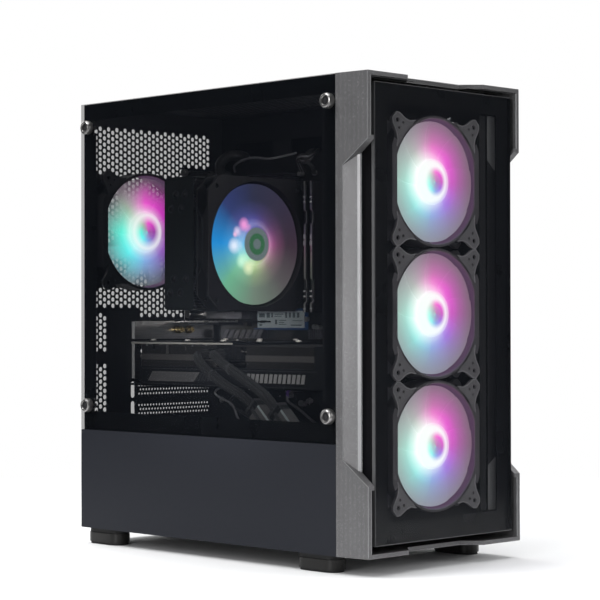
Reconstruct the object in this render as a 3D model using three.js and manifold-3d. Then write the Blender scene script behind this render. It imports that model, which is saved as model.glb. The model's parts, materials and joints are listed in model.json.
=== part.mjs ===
// A desktop computer tower with a tempered-glass side and a glass front, as an assembly of separate
// pieces. Millimetres, +Z up. The front faces -Y and the glass side faces -X. The pieces are drawn in
// the case's own frame (X from the middle of the width, Y back from the front edge, Z up from the
// floor), and the group is shifted at the end so that the origin is under the middle of the whole.
import * as THREE from "three";
import { mergeVertices } from "three/addons/utils/BufferGeometryUtils.js";
import Module from "manifold-3d";

const wasm = await Module();
wasm.setup();

// ---- Driving dimensions ----
const HALF_WIDTH = 107.5; // outer faces of the two side panels
const DEPTH = 391; // bezel's front edge to the rear panel's outer face
const TOP = 440;
const BASE = 16; // underside of the case, above its feet
const SHEET = 1.2; // steel sheet thickness
const GAP = 0.3; // clearance between pieces that touch
const BEZEL_DEPTH = 35.7;
const SEAM = 114.2; // height where the glass side panel meets the steel panel below it
const GLASS = 4;
const FLANGE_X = HALF_WIDTH - GLASS - GAP - SHEET; // inner face of the folded edges behind the glass
const TRAY_X = 84; // face of the motherboard tray
const BOARD_X = 76; // component face of the motherboard
const REAR_Y = DEPTH - SHEET; // inner face of the rear panel
const FRONT_PLATE_Y = 37;
const SLOT_PITCH = 20.32; // spacing of the expansion slots
const LOWEST_SLOT_Z = 131.5;
const SLOT_LEFT = -43; // end of the expansion slots away from the motherboard
const FAN_SIZE = 120;
const FAN_HOLE_PITCH = 105;
const FAN_BLADES = 7;
const HUB_RADIUS = 21;
const FRONT_FAN_Z = [108.7, 228.7, 348.7]; // centres of the three front fans
const FRONT_FAN_Y = 11.6;
const REAR_FAN = { x: -40.9, z: 313.5 };
const COOLER = { x: -10.5, z: 298, size: 132, frontY: 235, thick: 18.5, finY: 254, finDepth: 44.5 };
const GPU = { x0: -51, x1: 62, y0: 106, y1: 384, z0: 157, z1: 201 };
const GPU_FAN_Y = [152, 245, 338];
const GPU_FAN_X = 5;
const GPU_FAN_BORE = 43;
const PSU = { x0: -75, x1: 75, y0: 247, y1: 388.6, z0: 20, z1: 106 };
const PSU_FAN_Y = 316;
const SCREW_Y = [42.5, 378]; // thumbscrews of the glass panel
const SCREW_Z = [138.5, 416];
const FRONT_GLASS = { half: 93.6, y0: 1.8, thick: 3.6, z0: 26.4, z1: 431.2 };
const SHIFT = { x: 3.5, y: -199.7 }; // moves the middle of the whole onto the origin

// ---- Geometry helpers ----
const toSolid = (geometry) => {
  const bare = geometry.index ? geometry.toNonIndexed() : geometry.clone();
  bare.deleteAttribute("normal");
  bare.deleteAttribute("uv");
  const merged = mergeVertices(bare, 1e-4);
  return new wasm.Manifold(
    new wasm.Mesh({
      numProp: 3,
      vertProperties: new Float32Array(merged.attributes.position.array),
      triVerts: new Uint32Array(merged.index.array),
    }),
  );
};

const toGeometry = (solid) => {
  const mesh = solid.getMesh();
  const geometry = new THREE.BufferGeometry();
  geometry.setAttribute("position", new THREE.BufferAttribute(mesh.vertProperties, 3));
  geometry.setIndex(new THREE.BufferAttribute(mesh.triVerts, 1));
  return geometry;
};

const join = (...geometries) =>
  toGeometry(geometries.map(toSolid).reduce((whole, piece) => whole.add(piece)));

const cut = (geometry, ...tools) =>
  toGeometry(tools.map(toSolid).reduce((whole, tool) => whole.subtract(tool), toSolid(geometry)));

const common = (a, b) => toGeometry(toSolid(a).intersect(toSolid(b)));

const box = (x0, x1, y0, y1, z0, z1) =>
  new THREE.BoxGeometry(x1 - x0, y1 - y0, z1 - z0).translate((x0 + x1) / 2, (y0 + y1) / 2, (z0 + z1) / 2);

// A polygon pushed along an axis. Its points are (y, z) for axis x, (x, z) for axis y, (x, y) for axis z.
function prism(points, axis, from, to) {
  const corners = () => points.map(([u, v]) => new THREE.Vector2(u, v));
  const shape = points instanceof THREE.Shape ? points : new THREE.Shape(corners());
  const options = { depth: to - from, bevelEnabled: false, curveSegments: 8 };
  const geometry = new THREE.ExtrudeGeometry(shape, options);
  if (axis === "z") return geometry.translate(0, 0, from);
  if (axis === "y") return geometry.rotateX(Math.PI / 2).translate(0, to, 0);
  const turn = new THREE.Matrix4().makeBasis(
    new THREE.Vector3(0, 1, 0),
    new THREE.Vector3(0, 0, 1),
    new THREE.Vector3(1, 0, 0),
  );
  return geometry.applyMatrix4(turn).translate(from, 0, 0);
}

// A round bar along an axis, centred on the two coordinates of the other axes.
function bar(axis, from, to, centre, radius, sides = 12, radiusTo = radius) {
  const geometry = new THREE.CylinderGeometry(radiusTo, radius, to - from, sides);
  const middle = (from + to) / 2;
  if (axis === "x") return geometry.rotateZ(-Math.PI / 2).translate(middle, centre[0], centre[1]);
  if (axis === "y") return geometry.translate(centre[0], middle, centre[1]);
  return geometry.rotateX(Math.PI / 2).translate(centre[0], centre[1], middle);
}

// ---- Materials ----
const paint = (color, roughness, metalness, extra = {}) =>
  new THREE.MeshStandardMaterial({ color, roughness, metalness, ...extra });
const STEEL_BLACK = paint(0x15171b, 0.55, 0.3);
const STEEL_BLUE = paint(0x2b2e38, 0.5, 0.35);
const GUNMETAL = paint(0x626163, 0.42, 0.55);
const BLACK_PLASTIC = paint(0x131416, 0.5, 0);
const DARK_GREY_PLASTIC = paint(0x3a383b, 0.5, 0);
const FROSTED = paint(0xd9dce2, 0.35, 0, { transparent: true, opacity: 0.7 });
const SMOKED_GLASS = paint(0x0c0e12, 0.05, 0, { transparent: true, opacity: 0.35 });
const BARE_METAL = paint(0x9b9a98, 0.35, 0.9);
const BOARD = paint(0x101214, 0.6, 0);
const BLACK_METAL = paint(0x1b1c1f, 0.4, 0.6);
const RUBBER = paint(0x1c1c1e, 0.85, 0);
const CHROME = paint(0xc8c8ca, 0.15, 1);
const LABEL_WHITE = paint(0xb9c2c4, 0.6, 0);

const tower = new THREE.Group();
tower.position.set(SHIFT.x, SHIFT.y, 0);

function add(name, geometry, material) {
  const mesh = new THREE.Mesh(geometry, material);
  mesh.name = name;
  tower.add(mesh);
  return mesh;
}

// ---- Sheet-metal chassis ----
const INNER_X = HALF_WIDTH - SHEET - GAP; // outer faces of the chassis behind the steel panels

function bottomPan() {
  const floor = box(-INNER_X, INNER_X, FRONT_PLATE_Y + SHEET + GAP, REAR_Y - GAP, BASE, BASE + SHEET);
  const lip = (x) => box(x, x + SHEET, FRONT_PLATE_Y + SHEET + GAP, REAR_Y - GAP, BASE, BASE + 9);
  const intake = bar("z", BASE - 1, BASE + SHEET + 1, [0, PSU_FAN_Y], 62, 24);
  const rails = [-1, 1].flatMap((side) => {
    const [a, b] = [side * 69.5, side * 68.3].sort((u, v) => u - v);
    const [c, d] = [side * 69.5, side * 65].sort((u, v) => u - v);
    return [box(a, b, 238, 388, BASE - 4.6, BASE + 0.1), box(c, d, 238, 388, BASE - 5.4, BASE - 4.5)];
  });
  return join(cut(floor, intake), lip(-INNER_X), lip(INNER_X - SHEET), ...rails);
}

function topPanel() {
  const y0 = BEZEL_DEPTH + GAP;
  const sheet = box(-INNER_X, INNER_X, y0, REAR_Y - GAP, TOP - SHEET, TOP);
  const lipRight = box(INNER_X - SHEET, INNER_X, y0, REAR_Y - GAP, TOP - 12, TOP);
  const lipLeft = box(-FLANGE_X - SHEET, -FLANGE_X, y0 + 22, REAR_Y - 14, TOP - 16, TOP);
  const edge = box(-HALF_WIDTH + GLASS + GAP, -FLANGE_X, y0, REAR_Y - GAP, TOP - SHEET, TOP);
  const left = box(-INNER_X - 1, -HALF_WIDTH + GLASS + GAP, y0 - 1, REAR_Y, TOP - 20, TOP + 1);
  return join(cut(sheet, left), lipRight, lipLeft, edge);
}

const slotZ = (i) => LOWEST_SLOT_Z + SLOT_PITCH * i;
const IO = { x0: 30, x1: 78.5, z0: 223.5, z1: 381 };

function rearPanel() {
  const sheet = box(-INNER_X, INNER_X, REAR_Y, DEPTH, BASE, TOP);
  const glassRebate = box(-HALF_WIDTH, -HALF_WIDTH + GLASS + GAP, REAR_Y - 1, DEPTH + 1, SEAM - GAP, TOP + 1);
  const flange = box(-FLANGE_X - SHEET, -FLANGE_X, REAR_Y - 13, REAR_Y + 0.5, SEAM + 4, TOP - 2);
  const psuHole = box(PSU.x0 + 3, PSU.x1 - 3, REAR_Y - 1, DEPTH + 1, PSU.z0 + 3, PSU.z1 - 3);
  const ioHole = box(IO.x0, IO.x1, REAR_Y - 1, DEPTH + 1, IO.z0, IO.z1);
  const slots = [0, 1, 2, 3, 4].map((i) =>
    box(SLOT_LEFT + 8, 68, REAR_Y - 1, DEPTH + 1, slotZ(i) - 6.5, slotZ(i) + 6.5),
  );
  const screws = SCREW_Z.map((z) => bar("x", -FLANGE_X - 3, -FLANGE_X + 2, [SCREW_Y[1], z], 3.4, 10));
  const rightScrews = PANEL_SCREW_Z.map((z) => bar("y", REAR_Y - 1, DEPTH + 1, [PANEL_SCREW_X, z], 2.6, 10));
  return cut(join(cut(sheet, glassRebate), flange), psuHole, ioHole, ...slots, ...screws, ...rightScrews);
}

function frontPlate() {
  const y1 = FRONT_PLATE_Y + SHEET;
  const sheet = box(-FLANGE_X, FLANGE_X, FRONT_PLATE_Y, y1, BASE + 1, TOP - SHEET - GAP);
  const flangeX = [-FLANGE_X - SHEET, -FLANGE_X + 0.1];
  const flange = box(...flangeX, FRONT_PLATE_Y, FRONT_PLATE_Y + 19, SEAM + 4, TOP - 20);
  const holes = FRONT_FAN_Z.map((z) => bar("y", FRONT_PLATE_Y - 1, y1 + 1, [0, z], 56, 24));
  const screws = SCREW_Z.map((z) => bar("x", -FLANGE_X - 3, -FLANGE_X + 2, [SCREW_Y[0], z], 3.4, 10));
  return cut(join(sheet, flange), ...holes, ...screws);
}

function motherboardTray() {
  const y0 = FRONT_PLATE_Y + SHEET + GAP;
  const sheet = box(TRAY_X, TRAY_X + SHEET, y0, REAR_Y - GAP, BASE + SHEET + GAP, TOP - SHEET - GAP);
  const windows = [
    box(TRAY_X - 1, TRAY_X + 3, 311, 366, 394, 411), // processor power lead
    box(TRAY_X - 1, TRAY_X + 3, 237, 285, 394, 411), // fan leads
    box(TRAY_X - 1, TRAY_X + 3, 104, 128, 196, 262), // main leads beside the board
    box(TRAY_X - 1, TRAY_X + 3, 104, 128, 292, 358),
    box(TRAY_X - 1, TRAY_X + 3, 226, 326, 250, 346), // behind the processor
    box(TRAY_X - 1, TRAY_X + 3, 200, 260, 60, 100), // from the power supply
  ];
  const standoffs = [150, 262, 380].flatMap((y) =>
    [140, 228, 368].map((z) => bar("x", BOARD_X + 1.6 + GAP, TRAY_X + 0.5, [y, z], 3, 6)),
  );
  const plain = cut(sheet, ...windows);
  return join(plain, ...standoffs);
}

function psuShroud() {
  const y0 = FRONT_PLATE_Y + SHEET + GAP;
  const sheet = box(-FLANGE_X, TRAY_X - GAP, y0, REAR_Y - GAP, SEAM - SHEET - 1, SEAM - 1);
  const cableHoles = [
    box(-94, -58, 106, 172, SEAM - 5, SEAM + 1), // for the graphics card's leads
    box(20, 66, 150, 176, SEAM - 5, SEAM + 1),
  ];
  return cut(sheet, ...cableHoles);
}

function leftLowerPanel() {
  const y0 = BEZEL_DEPTH + GAP;
  const face = box(-HALF_WIDTH, -HALF_WIDTH + SHEET, y0, DEPTH, BASE, SEAM - GAP);
  const top = box(-HALF_WIDTH, -FLANGE_X - GAP, y0, DEPTH - 3, SEAM - GAP - SHEET, SEAM - GAP);
  return join(face, top);
}

function rightSidePanel() {
  const x0 = HALF_WIDTH - SHEET;
  const y0 = BEZEL_DEPTH + GAP;
  const face = box(x0, HALF_WIDTH, y0, DEPTH + GAP + SHEET, BASE + GAP, TOP - GAP);
  const rearFold = box(93, HALF_WIDTH, DEPTH + GAP, DEPTH + GAP + SHEET, BASE + GAP, TOP - GAP);
  const holes = PANEL_SCREW_Z.map((z) =>
    bar("y", DEPTH - 1, DEPTH + 4, [PANEL_SCREW_X, z], 2.6, 10),
  );
  return cut(join(face, rearFold), ...holes);
}

function driveCage() {
  const outer = box(-62, 62, 62, 192, BASE + SHEET + GAP, 104);
  const bay = box(-60.8, 60.8, 61, 193, BASE + SHEET * 2 + GAP, 102.8);
  const shelves = [46, 74].flatMap((z) => [
    box(-61.5, -52, 62, 192, z, z + SHEET),
    box(52, 61.5, 62, 192, z, z + SHEET),
  ]);
  return join(cut(outer, bay), ...shelves);
}

// A foot: a block with round ends, narrower below.
const FOOT = { length: 50, width: 24, x: 92, frontY: 43, rearY: 340 };
function foot(x, y0) {
  const r = FOOT.width / 2;
  const shape = new THREE.Shape();
  shape.absarc(x, y0 + r, r, Math.PI, 2 * Math.PI, false);
  shape.absarc(x, y0 + FOOT.length - r, r, 0, Math.PI, false);
  return prism(shape, "z", 0, BASE - GAP);
}

// ---- Fans ----
// A fan's frame: a ring with four ears at each end, and arms behind that carry the motor.
// It is drawn round the origin with its open side towards -Y, and it is thick mm deep.
function fanFrame(size, bore, thick) {
  const half = size / 2;
  const hole = FAN_HOLE_PITCH / 2;
  const ring = bar("y", 0, thick, [0, 0], half, 24);
  const flange = 4;
  const tip = (half - hole) * Math.SQRT2 + 0.5;
  const ears = [];
  for (const [from, to] of [[0, flange], [thick - flange, thick]])
    for (let k = 0; k < 4; k++) {
      const angle = Math.PI / 4 + (k * Math.PI) / 2;
      const reach = hole * Math.SQRT2;
      const outline = [
        [half * 0.72, -half * 0.42],
        [reach - 3, -tip],
        [reach + tip * 0.4, -tip * 0.55],
        [reach + tip * 0.4, tip * 0.55],
        [reach - 3, tip],
        [half * 0.72, half * 0.42],
      ];
      const ear = prism(outline, "y", from, to).rotateY(-angle);
      const screw = bar("y", from - 1, to + 1, [Math.cos(angle) * reach, Math.sin(angle) * reach], 2.2, 6);
      ears.push(from === 0 ? cut(ear, screw) : ear);
    }
  const opened = cut(join(ring, ...ears), bar("y", -1, thick + 1, [0, 0], bore, 24));
  const square = box(-half, half, -1, thick + 1, -half, half);
  const motor = bar("y", thick - 3, thick, [0, 0], HUB_RADIUS, 12);
  const arms = [0, 1, 2, 3].map((k) =>
    box(18, bore + 1.5, thick - 3, thick, -2, 2).rotateY(Math.PI / 8 + (k * Math.PI) / 2),
  );
  return join(common(opened, square), motor, ...arms);
}

// A fan's rotor: a hub that narrows towards its open side, and tilted blades. It spins about Y.
function fanRotor(radius, hubRadius, thick, blades) {
  const hub = bar("y", 0, thick, [0, 0], hubRadius, 12);
  const cap = bar("y", -1.5, 0, [0, 0], hubRadius * 0.72, 12, hubRadius);
  const parts = [hub, cap];
  for (let k = 0; k < blades; k++) {
    const blade = box(hubRadius - 2, radius, -0.8, 0.8, -1, 1);
    const spread = ((radius * 2 * Math.PI) / blades) * 0.36;
    const at = blade.attributes.position;
    for (let i = 0; i < at.count; i++) {
      const r = at.getX(i);
      const side = Math.sign(at.getZ(i));
      const along = side * spread * (r > hubRadius ? 1 : 0.42);
      const lean = (along / spread) * thick * 0.3;
      at.setXYZ(i, Math.sqrt(Math.max(r * r - along * along, 1)), at.getY(i) + thick / 2 - lean, along);
    }
    parts.push(blade.rotateY((k * 2 * Math.PI) / blades));
  }
  return join(...parts);
}

function addFan(name, [x, y, z], { size, bore, thick }, frameMaterial) {
  const frame = fanFrame(size, bore, thick).translate(x, y, z);
  const rotor = fanRotor(bore - 1.8, HUB_RADIUS, thick - 8, FAN_BLADES).translate(x, y + 3, z);
  add(name + "_frame", frame, frameMaterial);
  add(name + "_rotor", rotor, FROSTED);
}

// ---- Front bezel ----
const SIDE_NOTCH = { z0: 79, z1: 380.3, back: 28.5, rise: 22 }; // cut back into each side's front edge
const END_NOTCH = { half: 52, back: 16 }; // cut back into the middle of the top and bottom
const BEZEL_WALL = 3.8;
const BEZEL_FRONT_HALF = 104;
const WEB = 3.5; // wall above and below each side notch
const NOTCH_WALL_FRONT = 96.5; // inner end of those walls

function bezel() {
  const front = BEZEL_FRONT_HALF;
  const outer = prism(
    [[-front, 0], [front, 0], [HALF_WIDTH, BEZEL_DEPTH], [-HALF_WIDTH, BEZEL_DEPTH]], "z", BASE, TOP,
  );
  const inner = front - BEZEL_WALL;
  const cavity = box(-inner, inner, -1, BEZEL_DEPTH + 1, BASE + BEZEL_WALL, TOP - BEZEL_WALL);
  const { z0, z1, back, rise } = SIDE_NOTCH;
  const sideCut = [[-1, z0 - 0.8], [back, z0 + rise], [back, z1 - rise], [-1, z1 + 0.8]];
  const webLow = [[0, z0 - WEB], [back, z0 + rise - WEB], [back, z0 + rise], [0, z0]];
  const webHigh = webLow.map(([y, z]) => [y, z0 + z1 - z]).reverse();
  const endCut = [
    [-END_NOTCH.half - 1, -1],
    [END_NOTCH.half + 1, -1],
    [END_NOTCH.half - END_NOTCH.back, END_NOTCH.back],
    [-END_NOTCH.half + END_NOTCH.back, END_NOTCH.back],
  ];
  let shell = cut(
    outer,
    cavity,
    prism(sideCut, "x", -HALF_WIDTH - 1, -inner + 8),
    prism(sideCut, "x", inner - 8, HALF_WIDTH + 1),
    prism(endCut, "z", BASE - 1, BASE + BEZEL_WALL + 1),
    prism(endCut, "z", TOP - BEZEL_WALL - 1, TOP + 1),
  );
  // The wall at the back of a side notch, seen from above on the right, and the notch's side view.
  const slant = [[106.75, 28.3], [98, 14.8], [95, 16.4], [100.5, 27], [100.5, 30], [106.8, 30]];
  const notchSide = [
    [0, z0], [back, z0 + rise], [back + 2.5, z0 + rise], [back + 2.5, z1 - rise], [back, z1 - rise], [0, z1],
  ];
  const room = prism(notchSide, "x", -HALF_WIDTH - 0.5, HALF_WIDTH + 0.5);
  const sideWall = [
    [NOTCH_WALL_FRONT, 0], [front, 0], [HALF_WIDTH, BEZEL_DEPTH], [NOTCH_WALL_FRONT, BEZEL_DEPTH],
  ];
  const mirror = (points) => points.map(([x, y]) => [-x, y]);
  for (const [slantHere, wallHere] of [[slant, sideWall], [mirror(slant), mirror(sideWall)]]) {
    const wall = common(prism(slantHere, "z", z0, z1), room);
    const sideBlock = prism(wallHere, "z", BASE, TOP);
    const webs = [webLow, webHigh].map((web) => common(prism(web, "x", -HALF_WIDTH, HALF_WIDTH), sideBlock));
    shell = join(shell, wall, ...webs);
  }
  return cut(shell, ...ioOpenings(TOP - BEZEL_WALL - 2, TOP + 1, GAP));
}

function frontGlass() {
  const { half, y0, thick, z0, z1 } = FRONT_GLASS;
  return box(-half, half, y0, y0 + thick, z0, z1);
}

function bezelInnerFrame() {
  const x = FRONT_GLASS.half + 0.8;
  const y0 = FRONT_GLASS.y0 + FRONT_GLASS.thick + GAP;
  const outer = box(-x, x, y0, BEZEL_DEPTH - GAP, 27, 430.6);
  const tunnel = box(-x + 2.5, x - 2.5, y0 + 2.4, BEZEL_DEPTH + 1, 29.5, 428);
  const window = box(-78.5, 78.5, y0 - 1, BEZEL_DEPTH + 1, 42, 416);
  const ioRebate = box(-52, 87, IO_Y - 8, IO_Y + 8, 420, 432);
  const tabs = [60, 400].flatMap((z) => [
    box(-99.9, -x + 0.5, 24, 30, z - 6, z + 6),
    box(x - 0.5, 99.9, 24, 30, z - 6, z + 6),
  ]);
  return join(cut(outer, tunnel, window, ioRebate), ...tabs);
}

// ---- Front input and output panel, on top of the bezel ----
const IO_Y = 26;
const POWER = { x: 72, r: 7 };
const USB_X = [32, 12, -8];
const USB = { w: 13.2, d: 5.8 };
const JACK_X = [-28, -42];
const JACK_R = 3.4;

// A box centred on a point of the panel.
const portBox = (x, width, depth, z0, z1) =>
  box(x - width / 2, x + width / 2, IO_Y - depth / 2, IO_Y + depth / 2, z0, z1);

function ioOpenings(z0, z1, grow) {
  return [
    bar("z", z0, z1, [POWER.x, IO_Y], POWER.r + grow, 20),
    ...USB_X.map((x) => portBox(x, USB.w + 2 * grow, USB.d + 2 * grow, z0, z1)),
    ...JACK_X.map((x) => bar("z", z0, z1, [x, IO_Y], JACK_R + grow, 12)),
  ];
}

function ioModule() {
  const z1 = TOP - BEZEL_WALL - GAP;
  const rim = TOP - 0.4;
  const board = box(-50, 84, IO_Y - 7, IO_Y + 7, z1 - 14, z1 - 12);
  const ports = USB_X.map((x) =>
    cut(portBox(x, USB.w, USB.d, z1 - 13, rim), portBox(x, USB.w - 1, USB.d - 1, z1 - 8, TOP + 1)),
  );
  const jacks = JACK_X.map((x) =>
    cut(bar("z", z1 - 13, rim, [x, IO_Y], JACK_R, 12), bar("z", z1 - 9, TOP + 1, [x, IO_Y], 1.8, 10)),
  );
  const powerSwitch = box(POWER.x - 3, POWER.x + 3, IO_Y - 3, IO_Y + 3, z1 - 12.5, z1 - 9);
  return join(board, ...ports, ...jacks, powerSwitch);
}

function button({ x, r }) {
  const cap = bar("z", TOP - 5, TOP + 0.6, [x, IO_Y], r - 0.15, 20);
  const stem = bar("z", TOP - 8.5, TOP - 4.9, [x, IO_Y], Math.min(r * 0.45, 2.4), 10);
  return join(cap, stem);
}

// ---- Glass side panel and its thumbscrews ----
function glassPanel() {
  const sheet = box(-HALF_WIDTH, -HALF_WIDTH + GLASS, BEZEL_DEPTH + GAP, DEPTH, SEAM, TOP);
  const holes = SCREW_Y.flatMap((y) =>
    SCREW_Z.map((z) => bar("x", -HALF_WIDTH - 1, -HALF_WIDTH + GLASS + 1, [y, z], 3.4, 12)),
  );
  return cut(sheet, ...holes);
}

// A thumbscrew drawn along +Z from its tip: a thin shank and a wide head with a chamfered face.
function thumbscrew(shank) {
  const head = 6.5;
  const profile = [
    [0, 0], [2, 0], [2, shank], [7, shank], [7, shank + head - 1.6], [5.4, shank + head], [0, shank + head],
  ].map(([r, z]) => new THREE.Vector2(r, z));
  return new THREE.LatheGeometry(profile, 12).rotateX(Math.PI / 2);
}

const PANEL_SCREW_X = 99;
const PANEL_SCREW_Z = [92, 372];

function addThumbscrews() {
  const corner = { 0: "front", 1: "rear" };
  const level = { 0: "lower", 1: "upper" };
  SCREW_Y.forEach((y, i) =>
    SCREW_Z.forEach((z, k) => {
      const screw = thumbscrew(9).rotateY(-Math.PI / 2).translate(-HALF_WIDTH - 0.5 + 9, y, z);
      add(`glass_screw_${corner[i]}_${level[k]}`, screw, CHROME);
    }),
  );
  PANEL_SCREW_Z.forEach((z, k) => {
    const y = DEPTH + GAP + SHEET + 0.4 - 6;
    const screw = thumbscrew(6).rotateX(-Math.PI / 2).translate(PANEL_SCREW_X, y, z);
    add(`panel_screw_${level[k]}`, screw, BLACK_METAL);
  });
}

// ---- Motherboard and what is plugged into it ----
const BOARD_BOX = { y0: 144, y1: 388, z0: 132, z1: 376 };
const RAM_Y = [219.7, 210.7];

function motherboard() {
  const back = BOARD_X + 1.6;
  const sheet = box(BOARD_X, back, BOARD_BOX.y0, BOARD_BOX.y1, BOARD_BOX.z0, BOARD_BOX.z1);
  const memorySlots = RAM_Y.map((y) => box(BOARD_X - 7, BOARD_X + 0.2, y - 3.4, y + 3.4, 226, 366));
  const cardSlot = box(BOARD_X - 8, BOARD_X + 0.2, 228, 318, GPU.z1 - 5, GPU.z1 + 2.6);
  const smallSlot = box(BOARD_X - 8, BOARD_X + 0.2, 335, 361, 216.6, 223.2);
  const ports = box(IO.x0 + 1, BOARD_X + 0.2, 366, DEPTH - 1, IO.z0 + 1, IO.z1 - 1);
  const socket = box(BOARD_X - 6, BOARD_X + 0.2, 256, 296, 276, 319);
  const mainPower = box(BOARD_X - 9, BOARD_X + 0.2, 149, 157, 262, 314);
  return join(sheet, ...memorySlots, cardSlot, smallSlot, ports, socket, mainPower);
}

// A memory stick: a circuit board in a folded heat spreader with a stepped outer edge.
function ramStick(y) {
  const outline = [
    [231, 38], [240, 40.6], [262, 40.6], [266, 39], [318, 39], [322, 40.6], [352, 40.6], [361.6, 38],
    [361.6, BOARD_X - 7.4], [231, BOARD_X - 7.4],
  ];
  return prism(outline.map(([z, x]) => [x, z]), "y", y - 3, y + 3);
}

function coolerHeatsink() {
  const { z, finY, finDepth } = COOLER;
  const half = 65;
  const fins = [];
  const count = 9;
  for (let i = 0; i < count; i++) {
    const x = -78 + (i * 104) / (count - 1);
    fins.push(box(x, x + 1.6, finY, finY + finDepth, z - half, z + half));
  }
  const pipes = [-48, -33, 33, 48].map((dz) => bar("x", -80, 40, [finY + finDepth / 2, z + dz], 3, 6));
  const bridge = box(34, 44, finY + 14, finY + 31, z - 52, z + 52);
  const base = box(44 - 0.5, BOARD_X - 6 - GAP, finY + 4, finY + 40, z - 19, z + 19);
  return join(...fins, ...pipes, bridge, base);
}

// ---- Graphics card ----
function gpuShroud() {
  const { x0, x1, y0, y1, z0, z1 } = GPU;
  const face = box(x0, x1, y0, y1, z0, z0 + 2);
  const nearWall = box(x0, x0 + 2.4, y0, y1, z0, z0 + 20);
  const farWall = box(x1 - 2, x1, y0, y1, z0, z0 + 16);
  const frontWall = box(x0, x1, y0, y0 + 3, z0, z1 - 2.4);
  const frontNear = box(x0, x0 + 2.4, y0, y0 + 12, z0, z1 - 2.4);
  const rearWall = box(x0, x1, y1 - 3, y1, z0, z0 + 22);
  const holes = GPU_FAN_Y.map((y) => bar("z", z0 - 1, z0 + 3, [GPU_FAN_X, y], GPU_FAN_BORE, 28));
  return cut(join(face, nearWall, farWall, frontWall, frontNear, rearWall), ...holes);
}

// The card's fin block: upright fins across the card, joined by a plate against the circuit board.
function gpuHeatsink() {
  const plate = box(GPU.x0 + 5, 56, GPU.y0 + 8, GPU.y1 - 8, GPU.z1 - 5, GPU.z1 - 2.2);
  const fins = [];
  const count = 13;
  for (let i = 0; i < count; i++) {
    const y = GPU.y0 + 8 + (i * (GPU.y1 - GPU.y0 - 18)) / (count - 1);
    fins.push(box(GPU.x0 + 5, 56, y, y + 2, GPU.z0 + 19, GPU.z1 - 4.5));
  }
  return join(plate, ...fins);
}

function gpuBoard() {
  const sheet = box(GPU.x0 + 3, 60, 238, GPU.y1, GPU.z1 - 1.6, GPU.z1);
  const edge = box(59, BOARD_X - 8.4, 232, 314, GPU.z1 - 1.6, GPU.z1);
  return join(sheet, box(59, 60, 232, 314, GPU.z1 - 1.6, GPU.z1), edge);
}

const gpuBackplate = () => box(GPU.x0 + 1, 60, GPU.y0, GPU.y1, GPU.z1 + GAP, GPU.z1 + GAP + 1.4);

// An expansion bracket: a plate inside the rear panel with a fold at its free end.
const BRACKET_Y = [REAR_Y - GAP - 1, REAR_Y - GAP];
function bracket(z0, z1) {
  const plate = box(SLOT_LEFT, 70, BRACKET_Y[0], BRACKET_Y[1], z0, z1);
  const fold = box(SLOT_LEFT, SLOT_LEFT + 1.2, BRACKET_Y[0] - 3.6, BRACKET_Y[1], z0, z1);
  return join(plate, fold);
}

function wifiCard() {
  const z = slotZ(4) + 8;
  const sheet = box(15.5, 62, 292, BRACKET_Y[0] + 0.2, z, z + 1.5);
  const edge = box(61, BOARD_X - 8.4, 340, 356, z, z + 1.5);
  return join(bracket(slotZ(4) - 9, slotZ(4) + 9.4), sheet, edge);
}

// ---- Power supply ----
const INLET = { x: -40, z: 84, w: 27, h: 20, depth: 14 };
const SWITCH = { x: -8, z: 84, w: 15, h: 21 };

function powerSupply() {
  const { x0, x1, y0, y1, z0, z1 } = PSU;
  const t = 1.5;
  const hollow = cut(
    box(x0, x1, y0, y1, z0, z1),
    box(x0 + t, x1 - t, y0 + t, y1 - t, z0 + t, z1 - t),
    bar("z", z0 - 1, z0 + t + 1, [0, PSU_FAN_Y], 63, 32),
  );
  const onBack = (middle, width, height, from, to) =>
    box(middle.x - width / 2, middle.x + width / 2, from, to, middle.z - height / 2, middle.z + height / 2);
  const inletBox = onBack(INLET, INLET.w + 3, INLET.h + 3, y1 - INLET.depth - 3, y1 + 1.6);
  const inletMouth = onBack(INLET, INLET.w, INLET.h, y1 - INLET.depth, y1 + 3);
  const pins = [[-7, -1], [0, 3], [7, -1]].map(([dx, dz]) =>
    onBack({ x: INLET.x + dx, z: INLET.z + dz }, 2, 4, y1 - INLET.depth - 1, y1 - 3),
  );
  const switchHole = onBack(SWITCH, SWITCH.w, SWITCH.h, y1 - 10, y1 + 3);
  return join(cut(join(hollow, inletBox), inletMouth, switchHole), ...pins);
}

// The dust filter under the power supply, which slides out to the rear on the rails of the bottom pan.
function psuFilter() {
  const frame = box(-67.9, 67.9, 241, 388, BASE - 4.1, BASE - 1.6);
  const pull = box(-14, 14, 387, 392.5, BASE - 6.5, BASE - 1.6);
  return join(frame, pull);
}

// A rocker: a shallow V seen from the side, which tips about X.
const ROCKER_AXIS_Y = PSU.y1 - 3;
function rocker() {
  const h = SWITCH.h / 2 - 1.2;
  const y = ROCKER_AXIS_Y;
  const half = SWITCH.w / 2 - 0.8;
  const outline = [[y - 4, -h + 2.5], [y + 2.6, -h], [y + 1.2, 0], [y + 3.8, h - 0.6], [y - 4, h - 2.5]];
  return prism(outline.map(([a, b]) => [a, b + SWITCH.z]), "x", SWITCH.x - half, SWITCH.x + half);
}

// The power supply's fan rotor, which lies flat behind the grille.
function flatRotor(radius, hubRadius, thick, blades) {
  return fanRotor(radius, hubRadius, thick, blades).rotateX(Math.PI / 2);
}

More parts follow.
